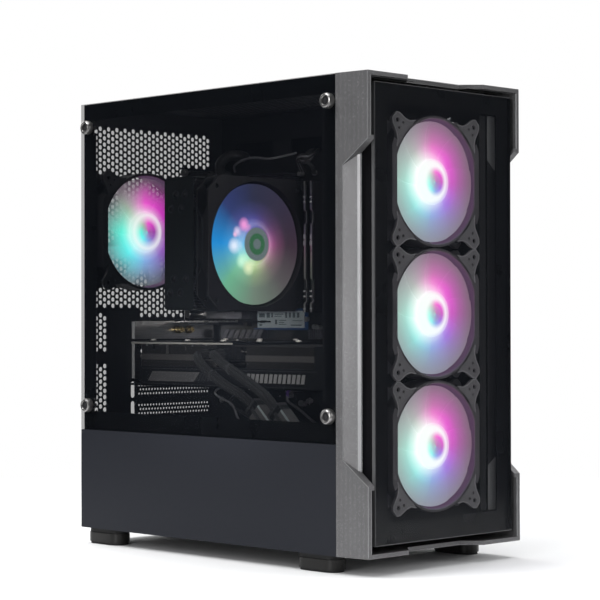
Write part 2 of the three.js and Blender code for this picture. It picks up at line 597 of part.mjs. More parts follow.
// ---- The graphics card's leads ----
// Each lead leaves the card's side, bends down to a plug, and a second lead from the power supply
// comes up through the shroud into the same plug. The plugs lean the way the leads hang.
const LEADS = [
  {
    upper: [
      [-53, 240, 188], [-66, 239, 190], [-74, 228, 188.5], [-76, 212, 180], [-75, 186, 167],
      [-74, 160, 152.6], [-71, 145, 137],
    ],
    plug: [-70, 137.3, 130],
    lower: [
      [-70, 126.1, 119.2], [-70.5, 121.5, 114.7], [-73, 118, 98], [-74, 140, 74], [-72, 196, 64],
      [-60, 236, 62], [-60, 246, 62],
    ],
  },
  {
    upper: [
      [-53, 262, 188], [-66, 261, 189], [-75, 250, 184], [-78, 234, 174], [-77, 210, 161],
      [-75, 190, 152], [-71, 175, 140],
    ],
    plug: [-70, 168.1, 133.2],
    lower: [
      [-70, 156.9, 122.4], [-71, 152.3, 117.9], [-82, 145, 100], [-86, 164, 84], [-78, 206, 80],
      [-60, 236, 82], [-60, 246, 82],
    ],
  },
];
const LEAD_RADIUS = 5;
const PLUG_LEAN = (44 * Math.PI) / 180;
const PLUG = { length: 27, width: 17.6, thick: 10.5 };

function lead(route) {
  const curve = new THREE.CatmullRomCurve3(route.map((point) => new THREE.Vector3(...point)));
  const corners = [];
  for (let i = 0; i < 8; i++) {
    const angle = (i * Math.PI) / 4;
    corners.push(new THREE.Vector2(Math.cos(angle) * LEAD_RADIUS, Math.sin(angle) * LEAD_RADIUS));
  }
  const outline = new THREE.Shape(corners);
  return new THREE.ExtrudeGeometry(outline, { steps: 9, extrudePath: curve, bevelEnabled: false });
}

const plugBlock = ([x, y, z]) =>
  new THREE.BoxGeometry(PLUG.thick, PLUG.length, PLUG.width).rotateX(PLUG_LEAN).translate(x, y, z);

// ---- Assembly ----
add("bottom_pan", bottomPan(), STEEL_BLACK);
add("top_panel", topPanel(), STEEL_BLACK);
add("rear_panel", rearPanel(), STEEL_BLACK);
add("front_plate", frontPlate(), STEEL_BLACK);
add("motherboard_tray", motherboardTray(), STEEL_BLACK);
add("psu_shroud", psuShroud(), STEEL_BLACK);
add("left_lower_panel", leftLowerPanel(), STEEL_BLUE);
add("right_side_panel", rightSidePanel(), STEEL_BLUE);
add("drive_cage", driveCage(), STEEL_BLACK);
for (const [side, x] of [["left", -FOOT.x], ["right", FOOT.x]])
  for (const [end, y] of [["front", FOOT.frontY], ["rear", FOOT.rearY]])
    add(`foot_${end}_${side}`, foot(x, y), RUBBER);

const FRONT_FAN = { size: FAN_SIZE - 0.4, bore: 57, thick: 25 };
const REAR_FAN_SHAPE = { size: FAN_SIZE, bore: 57, thick: 25 };
const COOLER_FAN = { size: COOLER.size, bore: 61.8, thick: COOLER.thick };
["bottom", "middle", "top"].forEach((level, i) =>
  addFan(`front_fan_${level}`, [0, FRONT_FAN_Y, FRONT_FAN_Z[i]], FRONT_FAN, DARK_GREY_PLASTIC),
);
const rearFanY = REAR_Y - GAP - REAR_FAN_SHAPE.thick;
addFan("rear_fan", [REAR_FAN.x, rearFanY, REAR_FAN.z], REAR_FAN_SHAPE, BLACK_PLASTIC);
addFan("cooler_fan", [COOLER.x, COOLER.frontY, COOLER.z], COOLER_FAN, BLACK_PLASTIC);

add("front_bezel", bezel(), GUNMETAL);
add("bezel_inner_frame", bezelInnerFrame(), BLACK_PLASTIC);
add("front_glass", frontGlass(), SMOKED_GLASS);
add("front_io_module", ioModule(), BARE_METAL);
add("power_button", button(POWER), BLACK_PLASTIC);
add("left_glass_panel", glassPanel(), SMOKED_GLASS);
addThumbscrews();
add("top_filter", box(-78, 78, 62, 362, TOP + GAP, TOP + GAP + 1.4), BLACK_PLASTIC);

add("motherboard", motherboard(), BOARD);
RAM_Y.forEach((y, i) => add(`ram_stick_${i + 1}`, ramStick(y), BLACK_METAL));
add("m2_drive", box(BOARD_X - 4, BOARD_X - 1, 249, 329, 213, 235), LABEL_WHITE);
add("cooler_heatsink", coolerHeatsink(), BLACK_METAL);

add("gpu_shroud", gpuShroud(), BLACK_PLASTIC);
add("gpu_heatsink", gpuHeatsink(), BARE_METAL);
add("gpu_board", gpuBoard(), BOARD);
add("gpu_backplate", gpuBackplate(), BLACK_METAL);
add("gpu_bracket", bracket(slotZ(2) - 9, slotZ(3) + 9.4), BARE_METAL);
GPU_FAN_Y.forEach((y, i) => {
  const rotor = flatRotor(GPU_FAN_BORE - 1.5, 15, 12, FAN_BLADES).translate(GPU_FAN_X, y, GPU.z0 + 1);
  add(`gpu_fan_rotor_${i + 1}`, rotor, BLACK_PLASTIC);
});
add("wifi_card", wifiCard(), BOARD);
[0, 1].forEach((i) => add(`slot_cover_${i + 1}`, bracket(slotZ(i) - 9, slotZ(i) + 9.4), STEEL_BLACK));

add("psu_case", powerSupply(), STEEL_BLACK);
add("psu_filter", psuFilter(), BLACK_PLASTIC);
const psuRotor = flatRotor(58, HUB_RADIUS, 18, FAN_BLADES).translate(0, PSU_FAN_Y, PSU.z0 + 5);
add("psu_fan_rotor", psuRotor, BLACK_PLASTIC);
add("psu_switch", rocker(), BLACK_PLASTIC);
LEADS.forEach((route, i) => {
  add(`gpu_lead_${i + 1}`, join(lead(route.upper), plugBlock(route.plug)), BLACK_PLASTIC);
  add(`psu_lead_${i + 1}`, lead(route.lower), BLACK_PLASTIC);
});

export default tower;
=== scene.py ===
"""The looks of a desktop computer tower: glass side and front, lit fans, and the parts inside.

Lengths are millimetres in the case's own frame: X from the middle of the width, Y back from the
bezel's front edge, Z up from the floor. place() turns them into the shared frame's metres.
"""
import json
import math
import random

import bmesh
import bpy
from mathutils import Matrix, Vector
from mathutils.geometry import delaunay_2d_cdt


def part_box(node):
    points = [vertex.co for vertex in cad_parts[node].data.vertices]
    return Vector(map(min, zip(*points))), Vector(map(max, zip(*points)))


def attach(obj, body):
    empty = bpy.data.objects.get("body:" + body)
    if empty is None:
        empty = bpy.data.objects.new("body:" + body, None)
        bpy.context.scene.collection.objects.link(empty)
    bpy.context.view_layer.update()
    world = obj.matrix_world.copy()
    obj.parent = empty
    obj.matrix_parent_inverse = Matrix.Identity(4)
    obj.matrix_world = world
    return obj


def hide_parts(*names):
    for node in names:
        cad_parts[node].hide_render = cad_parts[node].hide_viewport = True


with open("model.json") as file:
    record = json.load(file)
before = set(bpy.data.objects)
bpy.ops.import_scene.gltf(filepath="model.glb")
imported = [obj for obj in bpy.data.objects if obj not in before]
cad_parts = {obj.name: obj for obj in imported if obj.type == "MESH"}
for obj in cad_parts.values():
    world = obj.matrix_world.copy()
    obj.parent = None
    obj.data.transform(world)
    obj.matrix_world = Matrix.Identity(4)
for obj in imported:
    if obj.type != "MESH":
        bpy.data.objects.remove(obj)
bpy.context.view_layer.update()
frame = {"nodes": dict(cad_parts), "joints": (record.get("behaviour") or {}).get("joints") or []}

MM = 0.001
bezel_low, bezel_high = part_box("front_bezel")
CASE_ORIGIN = Vector(((bezel_low.x + bezel_high.x) / 2, bezel_low.y, 0))


def place(point):
    """A point of the case's frame, in millimetres, as a point of the shared frame, in metres."""
    return CASE_ORIGIN + Vector(point) * MM


def span(node):
    """A CAD node's x, y and z ranges, in millimetres in the case's frame."""
    low, high = ((corner - CASE_ORIGIN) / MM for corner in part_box(node))
    return tuple((low[i], high[i]) for i in range(3))


def middle(pair):
    return (pair[0] + pair[1]) / 2


# ---- Camera, floor and light ----
VIEW_TURN = math.radians(45.0)  # round from the front towards the glass side
VIEW_PITCH = math.radians(0.57)
VIEW_ROLL = math.radians(-0.1)
VIEW_PLACE = (-1331.5, -1144.1, 223.9)
LENS = 116.4


def add_camera():
    data = bpy.data.cameras.new("view")
    data.lens = LENS
    data.sensor_width = 36
    data.clip_start = 0.05
    camera = bpy.data.objects.new("view", data)
    bpy.context.scene.collection.objects.link(camera)
    turn = Matrix.Rotation(-VIEW_TURN, 4, "Z") @ Matrix.Rotation(math.pi / 2 + VIEW_PITCH, 4, "X")
    camera.matrix_world = Matrix.Translation(place(VIEW_PLACE)) @ turn @ Matrix.Rotation(VIEW_ROLL, 4, "Z")
    bpy.context.scene.camera = camera


def add_light(name, where, aim, size, power):
    data = bpy.data.lights.new(name, "AREA")
    data.shape = "RECTANGLE"
    data.size, data.size_y = size
    data.energy = power
    light = bpy.data.objects.new(name, data)
    bpy.context.scene.collection.objects.link(light)
    light.location = where
    light.rotation_euler = (Vector(aim) - Vector(where)).to_track_quat("-Z", "Y").to_euler()
    light.visible_camera = False


def add_spot(name, where, aim, spread, power):
    """A narrow soft-edged beam."""
    data = bpy.data.lights.new(name, "SPOT")
    data.spot_size = math.radians(spread)
    data.spot_blend = 0.9
    data.shadow_soft_size = 0.06
    data.energy = power
    light = bpy.data.objects.new(name, data)
    bpy.context.scene.collection.objects.link(light)
    light.location = where
    light.rotation_euler = (Vector(aim) - Vector(where)).to_track_quat("-Z", "Y").to_euler()
    light.visible_camera = False


def add_world():
    """White where the camera sees it, a soft room for diffuse light and a dark one in reflections."""
    world = bpy.data.worlds.new("studio")
    bpy.context.scene.world = world
    world.use_nodes = True
    nodes, links = world.node_tree.nodes, world.node_tree.links
    shades = []
    for colour, strength in (((0.93, 0.96, 1, 1), 0.34), ((0.93, 0.96, 1, 1), 0.03), ((1, 1, 1, 1), 1.0)):
        shade = nodes.new("ShaderNodeBackground")
        shade.inputs["Color"].default_value = colour
        shade.inputs["Strength"].default_value = strength
        shades.append(shade.outputs[0])
    paths = nodes.new("ShaderNodeLightPath")
    shown = shades[0]
    for ray, shade in (("Is Glossy Ray", shades[1]), ("Is Camera Ray", shades[2])):
        choice = nodes.new("ShaderNodeMixShader")
        links.new(paths.outputs[ray], choice.inputs["Fac"])
        links.new(shown, choice.inputs[1])
        links.new(shade, choice.inputs[2])
        shown = choice.outputs[0]
    links.new(shown, nodes["World Output"].inputs["Surface"])


add_camera()
add_world()
add_light("key", (-1.3, 0.5, 1.9), (0, 0, 0.1), (0.9, 0.9), 30)
add_light("left_strip", (-1.95, -0.75, 0.6), (0, 0, 0.22), (0.4, 1.3), 15)
add_light("front_fill", (0.9, -1.9, 0.9), (0, -0.1, 0.2), (0.7, 1.4), 9)
add_light("overhead", (0.2, 0.1, 2.3), (0, 0, 0), (2.2, 2.2), 46)
add_light("back", (0.3, 2.1, 1.1), (0, 0.2, 0.2), (1.5, 1.2), 16)
add_light("right_edge", (2.0, 0.15, 0.7), (0, -0.2, 0.25), (0.5, 1.2), 12)
add_light("inside_front", (-0.02, -0.145, 0.41), (0.06, 0.15, 0.15), (0.15, 0.05), 0.2)
add_spot("through_side_glass", (-1.32, -1.16, 0.26), (0.03, 0.11, 0.2), 6.8, 300)


# ---- Shader graphs and groups ----
class Graph:
    """The nodes and links of one material or shader group, with short ways to add the usual nodes."""

    def __init__(self, tree):
        self.nodes = tree.nodes
        self.links = tree.links

    def new(self, kind):
        return self.nodes.new("ShaderNode" + kind)

    def link(self, output, socket):
        self.links.new(output, socket)

    def put(self, value, socket):
        """Puts a number, a colour or another socket into a socket."""
        if isinstance(value, bpy.types.NodeSocket):
            self.link(value, socket)
        elif isinstance(value, (tuple, list)) and len(value) == 3 and socket.type == "RGBA":
            socket.default_value = (*value, 1)
        else:
            socket.default_value = value

    def maths(self, operation, a, b=0.0, clamp=False):
        node = self.new("Math")
        node.operation = operation
        node.use_clamp = clamp
        self.put(a, node.inputs[0])
        self.put(b, node.inputs[1])
        return node.outputs[0]

    def times(self, a, b):
        return self.maths("MULTIPLY", a, b)

    def plus(self, a, b, clamp=False):
        return self.maths("ADD", a, b, clamp)

    def blend(self, share, a, b):
        """Colour a, turning into colour b as share goes from 0 to 1."""
        node = self.new("Mix")
        node.data_type = "RGBA"
        self.put(share, node.inputs[0])
        self.put(a, node.inputs[6])
        self.put(b, node.inputs[7])
        return node.outputs[2]

    def remap(self, value, low, high, to_low=0.0, to_high=1.0):
        node = self.new("MapRange")
        for i, number in enumerate((value, low, high, to_low, to_high)):
            self.put(number, node.inputs[i])
        return node.outputs[0]

    def noise(self, where, scale, detail=3.0):
        node = self.new("TexNoise")
        self.link(where, node.inputs["Vector"])
        self.put(scale, node.inputs["Scale"])
        node.inputs["Detail"].default_value = detail
        return node.outputs["Fac"]

    def place(self):
        """The place on the object, in metres."""
        return self.new("TexCoord").outputs["Object"]

    def vector_maths(self, operation, a, b=None):
        node = self.new("VectorMath")
        node.operation = operation
        self.link(a, node.inputs[0])
        if b is not None:
            self.link(b, node.inputs[1])
        return node.outputs

    def split(self, vector):
        node = self.new("SeparateXYZ")
        self.link(vector, node.inputs[0])
        return node.outputs

    def ramp(self, value, stops):
        """A colour ramp with (place, colour) stops."""
        node = self.new("ValToRGB")
        self.link(value, node.inputs[0])
        band = node.color_ramp
        while len(band.elements) > 1:
            band.elements.remove(band.elements[-1])
        band.elements[0].position = stops[0][0]
        band.elements[0].color = (*stops[0][1], 1)
        for where, colour in stops[1:]:
            band.elements.new(where).color = (*colour, 1)
        return node.outputs[0]

    def group(self, group, **values):
        """Places a shader group with the given values and gives its outputs."""
        node = self.new("Group")
        node.node_tree = group
        for label, value in values.items():
            self.put(value, node.inputs[label])
        return node.outputs

    def bump(self, shader, height, strength, distance=0.0002):
        node = self.new("Bump")
        node.inputs["Strength"].default_value = strength
        node.inputs["Distance"].default_value = distance
        self.link(height, node.inputs["Height"])
        self.link(node.outputs[0], shader["Normal"])


def shader_group(name, inputs, outputs, build):
    """A node group with named sockets. build(g, entry, leave) fills it."""
    group = bpy.data.node_groups.new(name, "ShaderNodeTree")
    for label, kind, value in inputs:
        socket = group.interface.new_socket(label, in_out="INPUT", socket_type=kind)
        if value is not None:
            socket.default_value = value
    for label, kind in outputs:
        group.interface.new_socket(label, in_out="OUTPUT", socket_type=kind)
    entry = group.nodes.new("NodeGroupInput")
    leave = group.nodes.new("NodeGroupOutput")
    build(Graph(group), entry.outputs, leave.inputs)
    return group


FLOAT, COLOUR, VECTOR = "NodeSocketFloat", "NodeSocketColor", "NodeSocketVector"


def build_grain(g, entry, leave):
    """Mottled colour, uneven roughness and a fine grain height."""
    where = g.place()
    broad = g.noise(where, g.times(entry["Scale"], 0.08))
    fine = g.noise(where, entry["Scale"], 4.0)
    shade = g.plus(g.times(broad, 0.65), g.times(fine, 0.35))
    swing = g.times(g.maths("SUBTRACT", shade, 0.5), entry["Mottle"])
    factor = g.plus(swing, 1.0)
    tinted = g.new("VectorMath")
    tinted.operation = "SCALE"
    g.link(entry["Color"], tinted.inputs[0])
    g.link(factor, tinted.inputs["Scale"])
    g.link(tinted.outputs[0], leave["Color"])
    rough = g.times(g.maths("SUBTRACT", broad, 0.5), entry["Unevenness"])
    g.link(g.plus(entry["Roughness"], rough, True), leave["Roughness"])
    g.link(fine, leave["Height"])


def build_flake(g, entry, leave):
    """Scattered bright metal flakes in a paint or plastic."""
    cells = g.new("TexVoronoi")
    g.link(g.place(), cells.inputs["Vector"])
    g.link(entry["Scale"], cells.inputs["Scale"])
    tone = g.new("SeparateColor")
    g.link(cells.outputs["Color"], tone.inputs[0])
    bright = g.maths("GREATER_THAN", tone.outputs[0], g.maths("SUBTRACT", 1.0, entry["Density"]))
    core = g.maths("LESS_THAN", cells.outputs["Distance"], 0.42)
    mask = g.times(g.times(bright, core), tone.outputs[1])
    g.link(g.blend(mask, entry["Color"], entry["Flake"]), leave["Color"])
    g.link(mask, leave["Mask"])


def build_dust(g, entry, leave):
    """A thin grey film on what faces up, patchy and a little rougher."""
    facing = g.split(g.new("NewGeometry").outputs["Normal"])
    up = g.remap(facing[2], 0.3, 1.0)
    patch = g.remap(g.noise(g.place(), 60.0, 5.0), 0.35, 0.75)
    film = g.times(g.times(up, patch), entry["Amount"])
    g.link(g.blend(film, entry["Color"], (0.32, 0.32, 0.33)), leave["Color"])
    g.link(film, leave["Mask"])


def build_brush(g, entry, leave):
    """Fine parallel brushing, stretched along one axis by the Stretch vector."""
    stretched = g.vector_maths("MULTIPLY", g.place(), entry["Stretch"])[0]
    lines = g.noise(stretched, 1.0, 6.0)
    g.link(g.remap(lines, 0.3, 0.7), leave["Mask"])


def build_polar(g, entry, leave):
    """The turn (0 to 1, from +X up towards +Z) and the radius in millimetres in a rotor's face."""
    across, _, up = g.split(g.vector_maths("SUBTRACT", g.place(), entry["Centre"])[0])
    angle = g.maths("ARCTAN2", up, across)
    turn = g.maths("FRACT", g.plus(g.maths("DIVIDE", angle, 2 * math.pi), 1.0))
    g.link(turn, leave["Angle"])
    square = g.plus(g.times(across, across), g.times(up, up))
    g.link(g.times(g.maths("SQRT", square), 1 / MM), leave["Radius"])


GRAIN = shader_group(
    "moulded grain",
    [
        ("Color", COLOUR, None), ("Roughness", FLOAT, 0.5), ("Scale", FLOAT, 900.0),
        ("Mottle", FLOAT, 0.3), ("Unevenness", FLOAT, 0.2),
    ],
    [("Color", COLOUR), ("Roughness", FLOAT), ("Height", FLOAT)],
    build_grain,
)
FLAKE = shader_group(
    "metal flake",
    [
        ("Color", COLOUR, None), ("Flake", COLOUR, None), ("Scale", FLOAT, 2500.0),
        ("Density", FLOAT, 0.15),
    ],
    [("Color", COLOUR), ("Mask", FLOAT)],
    build_flake,
)
DUST = shader_group(
    "settled dust", [("Color", COLOUR, None), ("Amount", FLOAT, 0.1)],
    [("Color", COLOUR), ("Mask", FLOAT)], build_dust,
)
BRUSH = shader_group("brushed lines", [("Stretch", VECTOR, None)], [("Mask", FLOAT)], build_brush)
POLAR = shader_group(
    "rotor polar place", [("Centre", VECTOR, None)], [("Angle", FLOAT), ("Radius", FLOAT)], build_polar,
)


def new_material(name):
    made = bpy.data.materials.new(name)
    made.use_nodes = True
    g = Graph(made.node_tree)
    return made, g, g.nodes["Principled BSDF"].inputs


def finish(
    name, colour, roughness, metallic=0.0, scale=900.0, mottle=0.3, uneven=0.2, bump=0.15, dust=0.0,
    specular=0.5,
):
    """A painted, moulded or plated surface: mottled grain, uneven gloss, fine bump and a little dust."""
    made, g, shader = new_material(name)
    grain = g.group(
        GRAIN, Color=colour, Roughness=roughness, Scale=scale, Mottle=mottle, Unevenness=uneven,
    )
    shown = grain["Color"]
    if dust:
        shown = g.group(DUST, Color=shown, Amount=dust)["Color"]
    g.link(shown, shader["Base Color"])
    g.link(grain["Roughness"], shader["Roughness"])
    shader["Metallic"].default_value = metallic
    shader["Specular IOR Level"].default_value = specular
    g.bump(shader, grain["Height"], bump)
    return made


def brushed(name, colour, roughness, stretch, scratch=0.35):
    """Bare metal with brushing along one axis."""
    made, g, shader = new_material(name)
    lines = g.group(BRUSH, Stretch=stretch)["Mask"]
    grain = g.group(GRAIN, Color=colour, Roughness=roughness, Scale=500.0, Mottle=0.25, Unevenness=0.15)
    dark = tuple(c * (1 - scratch) for c in colour)
    g.link(g.blend(lines, dark, grain["Color"]), shader["Base Color"])
    g.link(grain["Roughness"], shader["Roughness"])
    shader["Metallic"].default_value = 1.0
    g.bump(shader, lines, 0.12, 0.0001)
    return made


def speckled_gunmetal():
    made, g, shader = new_material("speckled gunmetal bezel")
    grain = g.group(
        GRAIN, Color=(0.125, 0.123, 0.126), Roughness=0.4, Scale=900.0, Mottle=0.4, Unevenness=0.12,
    )
    flakes = g.group(FLAKE, Color=grain["Color"], Flake=(0.34, 0.34, 0.35), Scale=2100.0, Density=0.3)
    g.link(flakes["Color"], shader["Base Color"])
    g.link(grain["Roughness"], shader["Roughness"])
    shader["Metallic"].default_value = 0.35
    g.bump(shader, flakes["Mask"], 0.08)
    return made


def smoked_glass(name, alpha, tint=(0.005, 0.006, 0.008)):
    made, g, shader = new_material(name)
    smear = g.group(GRAIN, Color=tint, Roughness=0.045, Scale=40.0, Mottle=0.3, Unevenness=0.03)
    g.link(smear["Color"], shader["Base Color"])
    g.link(smear["Roughness"], shader["Roughness"])
    shader["Alpha"].default_value = alpha
    shader["IOR"].default_value = 1.5
    shader["Specular IOR Level"].default_value = 0.14
    return made


def braid(name, colour):
    """A braided sleeve: two crossing families of strands round and along the lead, from its UVs."""
    made, g, shader = new_material(name)
    unrolled = g.split(g.new("TexCoord").outputs["UV"])
    along = g.times(unrolled[0], 2 * math.pi)
    round_it = g.times(unrolled[1], 2 * math.pi * 6)
    one = g.maths("SINE", g.plus(along, round_it))
    two = g.maths("SINE", g.maths("SUBTRACT", along, round_it))
    strands = g.remap(g.times(one, two), -1.0, 1.0)
    grain = g.group(GRAIN, Color=colour, Roughness=0.62, Scale=2500.0, Mottle=0.5, Unevenness=0.2)
    dark = tuple(c * 0.3 for c in colour)
    g.link(g.blend(strands, dark, grain["Color"]), shader["Base Color"])
    g.link(grain["Roughness"], shader["Roughness"])
    shader["Sheen Weight"].default_value = 0.06
    g.bump(shader, strands, 0.6, 0.0004)
    return made


def circuit_board(name):
    """Black solder mask with faint tracks and scattered pads."""
    made, g, shader = new_material(name)
    where = g.place()
    tracks = g.new("TexWave")
    tracks.wave_type = "BANDS"
    tracks.bands_direction = "DIAGONAL"
    g.link(where, tracks.inputs["Vector"])
    tracks.inputs["Scale"].default_value = 130.0
    tracks.inputs["Distortion"].default_value = 2.0
    zones = g.remap(g.noise(where, 45.0, 2.0), 0.5, 0.56)
    lines = g.times(g.remap(tracks.outputs["Fac"], 0.6, 0.75), zones)
    base = g.blend(lines, (0.008, 0.009, 0.011), (0.022, 0.025, 0.028))
    pads = g.group(FLAKE, Color=base, Flake=(0.35, 0.34, 0.3), Scale=420.0, Density=0.035)
    g.link(pads["Color"], shader["Base Color"])
    shader["Roughness"].default_value = 0.38
    g.bump(shader, lines, 0.2, 0.0001)
    return made


PLASTIC_BLACK = finish("black moulded plastic", (0.013, 0.013, 0.015), 0.5, dust=0.05)
PLASTIC_FRAME = finish("charcoal fan plastic", (0.26, 0.245, 0.262), 0.45, bump=0.2)
PLASTIC_SATIN = finish("satin black shroud", (0.011, 0.012, 0.014), 0.38, scale=1500.0)
STEEL_BLACK = finish(
    "black powder coat", (0.011, 0.012, 0.0145), 0.5, metallic=0.1, scale=2200.0, bump=0.25, dust=0.06,
)
STEEL_PANEL = finish(
    "blue-black powder coat", (0.0125, 0.014, 0.0195), 0.5, scale=2400.0, bump=0.3, mottle=0.18,
    specular=0.2,
)
BLACK_METAL = finish("black anodised metal", (0.03, 0.03, 0.033), 0.36, metallic=0.8, scale=1800.0)
GREY_METAL = finish("dark grey anodised metal", (0.05, 0.052, 0.062), 0.42, metallic=0.7, scale=1800.0)
RUBBER = finish("matt rubber foot", (0.006, 0.006, 0.0065), 0.75, scale=1500.0, bump=0.4, dust=0.15)
FOOT_CAP = finish(
    "glossy foot wall", (0.014, 0.0135, 0.013), 0.34, metallic=0.2, scale=1500.0, specular=0.3,
)
CERAMIC_BORDER = finish(
    "black glass border", (0.0035, 0.004, 0.005), 0.3, scale=300.0, mottle=0.2, bump=0.02,
)
GUNMETAL = speckled_gunmetal()
# A painted highlight on the front glass's edges.
GLASS_EDGE_HIGHLIGHT = finish("painted highlight on glass edge", (0.09, 0.09, 0.092), 0.2, scale=200.0, mottle=0.6, bump=0.02)
# Near-black and nearly unlit: the inner frame's own black with painted shade added, and dark discs that
# stand in for shade in the fan ears' holes.
SHADE_LINER = finish("near-black liner and painted shade", (0.004, 0.004, 0.005), 0.7, specular=0.05)
# Painted highlights: bright and dim lines laid on edges where light catches them.
EDGE_HIGHLIGHT_BRIGHT = finish("painted bright edge highlight", (0.9, 0.9, 0.9), 0.45, scale=900.0)
EDGE_HIGHLIGHT_DIM = finish("painted dim bezel edge highlight", (0.26, 0.26, 0.265), 0.35, metallic=0.4, scale=900.0)
# A painted highlight along the raised rims of the front fans' ears.
EAR_RIM_HIGHLIGHT = finish("painted highlight on fan ear rims", (0.72, 0.7, 0.72), 0.4)
EAR_FACE = finish("pale face of the fan ears", (0.44, 0.42, 0.44), 0.45, bump=0.2)
SIDE_GLASS = smoked_glass("smoked side glass", 0.375)
FRONT_GLASS = smoked_glass("smoked front glass", 0.36, (0.014, 0.0155, 0.019))
BARE_METAL = brushed("brushed plated steel", (0.55, 0.54, 0.53), 0.33, (40, 40, 3000))
FIN_METAL = brushed("aluminium fins", (0.3, 0.29, 0.29), 0.45, (60, 2500, 60))
NICKEL_PIPE = brushed("nickel heat pipe", (0.6, 0.58, 0.56), 0.22, (2500, 50, 50))
CHROME = finish(
    "dark chrome rim", (0.3, 0.295, 0.29), 0.3, metallic=0.9, mottle=0.1, uneven=0.08, bump=0.02,
)
GOLD = finish("gold contacts", (0.75, 0.6, 0.3), 0.3, metallic=1.0)
BOARD = circuit_board("black circuit board")
BLUE_BOARD = finish("blue board edge", (0.02, 0.06, 0.16), 0.4)
BLUE_SHEEN = finish("blue sheen on black steel", (0.02, 0.07, 0.1), 0.45, metallic=0.4)
# Also the pale strip on the power plugs' edge, a painted highlight.
LABEL_AND_PLUG_HIGHLIGHT = finish("pale drive label and plug edge highlight", (0.42, 0.47, 0.48), 0.55, scale=600.0, mottle=0.12, bump=0.03)
LABEL_INK = finish("label bars", (0.1, 0.13, 0.14), 0.6, scale=600.0)
GREY_PRINT = finish("grey printed plate", (0.16, 0.155, 0.155), 0.5, scale=700.0)
PALE_PRINT = finish("pale printed bars", (0.34, 0.335, 0.33), 0.5, scale=700.0)
SLEEVE = braid("black braided sleeve", (0.03, 0.03, 0.033))
WIRE = finish("black wire skin", (0.03, 0.03, 0.032), 0.4, scale=600.0)
CAN_TOP = finish("capacitor can", (0.36, 0.36, 0.37), 0.35, metallic=0.8, scale=1200.0)
# Also the pale painted highlights at the ends of the strip beside the front fans.
CONNECTOR_AND_STRIP_HIGHLIGHT = finish("pale connector plastic and painted strip highlight", (0.5, 0.5, 0.5), 0.5, scale=1200.0)
HEATSINK_STRIPE = finish("grey heatsink stripe", (0.11, 0.11, 0.125), 0.4, metallic=0.5)
STRIP_METAL = finish("bright metal strip", (0.42, 0.41, 0.4), 0.3, metallic=0.9, scale=700.0)
TOWER_SKIN = finish("black nickel tower", (0.022, 0.026, 0.027), 0.42, metallic=0.4, scale=1400.0)
GREY_PLATE = finish("dark badge face", (0.13, 0.128, 0.13), 0.45, scale=700.0)
DARK_MARK = finish("charcoal mark", (0.055, 0.055, 0.058), 0.45, scale=900.0)
FIN_DARK = finish("dark aluminium fin", (0.11, 0.105, 0.105), 0.45, metallic=0.7, scale=900.0)
# A lighter copy of the fin metal: a painted highlight where the fins' folded ends catch the light.
FIN_FOLD_HIGHLIGHT = finish("painted highlight on fin fold", (0.2, 0.19, 0.185), 0.45, metallic=0.6, scale=900.0)
GOLD_EDGE = finish("bright board edge", (0.86, 0.83, 0.76), 0.35, metallic=0.3, scale=700.0)
# A lighter copy of the black connector plastic: the painted highlight of its lit half.
PLUG_HIGHLIGHT_GREY = finish("painted highlight on connector half", (0.12, 0.118, 0.118), 0.4, scale=1000.0)
WIRE_GREY = finish("grey wire skin", (0.17, 0.17, 0.18), 0.4, scale=600.0)
WIRE_VIOLET = finish("violet wire skin", (0.14, 0.07, 0.3), 0.4, scale=600.0)
FILTER_MESH = finish("woven dust mesh", (0.02, 0.02, 0.022), 0.7, scale=1200.0, bump=0.5)


def floor_material():
    """Pale paper that fades out to the white backdrop away from the case."""
    made, g, shader = new_material("pale studio floor")
    grain = g.group(GRAIN, Color=(0.9, 0.9, 0.9), Roughness=0.7, Scale=30.0, Mottle=0.03, Unevenness=0.1)
    g.link(grain["Color"], shader["Base Color"])
    g.link(grain["Roughness"], shader["Roughness"])
    shader["Specular IOR Level"].default_value = 0.1
    away = g.vector_maths("LENGTH", g.place())["Value"]
    g.link(g.remap(away, 0.42, 0.95, 1.0, 0.0), shader["Alpha"])
    return made


def add_floor():
    bpy.ops.mesh.primitive_plane_add(size=14, location=(0, 0, 0))
    floor = bpy.context.object
    floor.name = "studio_floor"
    floor.data.materials.append(floor_material())


add_floor()


# ---- Shape building ----
BOX_FACES = [(0, 1, 3, 2), (4, 6, 7, 5), (0, 4, 5, 1), (2, 3, 7, 6), (0, 2, 6, 4), (1, 5, 7, 3)]
AXES = {"x": 0, "y": 1, "z": 2}
UP_AXES = {"x": (1, 2), "y": (0, 2), "z": (0, 1)}  # the two in-plane axes of a shape pushed along an axis


def lift(u, v, t, axis):
    """The point with in-plane coordinates u and v, and t along the axis."""
    point = [0, 0, 0]
    point[UP_AXES[axis][0]], point[UP_AXES[axis][1]], point[AXES[axis]] = u, v, t
    return tuple(point)


def circle(centre, radius, sides=16, start=0.0):
    return [
        (
            centre[0] + radius * math.cos(start + 2 * math.pi * k / sides),
            centre[1] + radius * math.sin(start + 2 * math.pi * k / sides),
        )
        for k in range(sides)
    ]


def rectangle(u, v, corner=0.0, steps=4):
    """A rectangle's outline, with rounded corners where corner is more than 0."""
    if corner <= 0:
        return [(u[0], v[0]), (u[1], v[0]), (u[1], v[1]), (u[0], v[1])]
    points = []
    for cu, cv, start in ((u[1], v[0], -90), (u[1], v[1], 0), (u[0], v[1], 90), (u[0], v[0], 180)):
        mu = cu - corner if cu == u[1] else cu + corner
        mv = cv - corner if cv == v[1] else cv + corner
        for k in range(steps + 1):
            angle = math.radians(start + 90 * k / steps)
            points.append((mu + corner * math.cos(angle), mv + corner * math.sin(angle)))
    return points


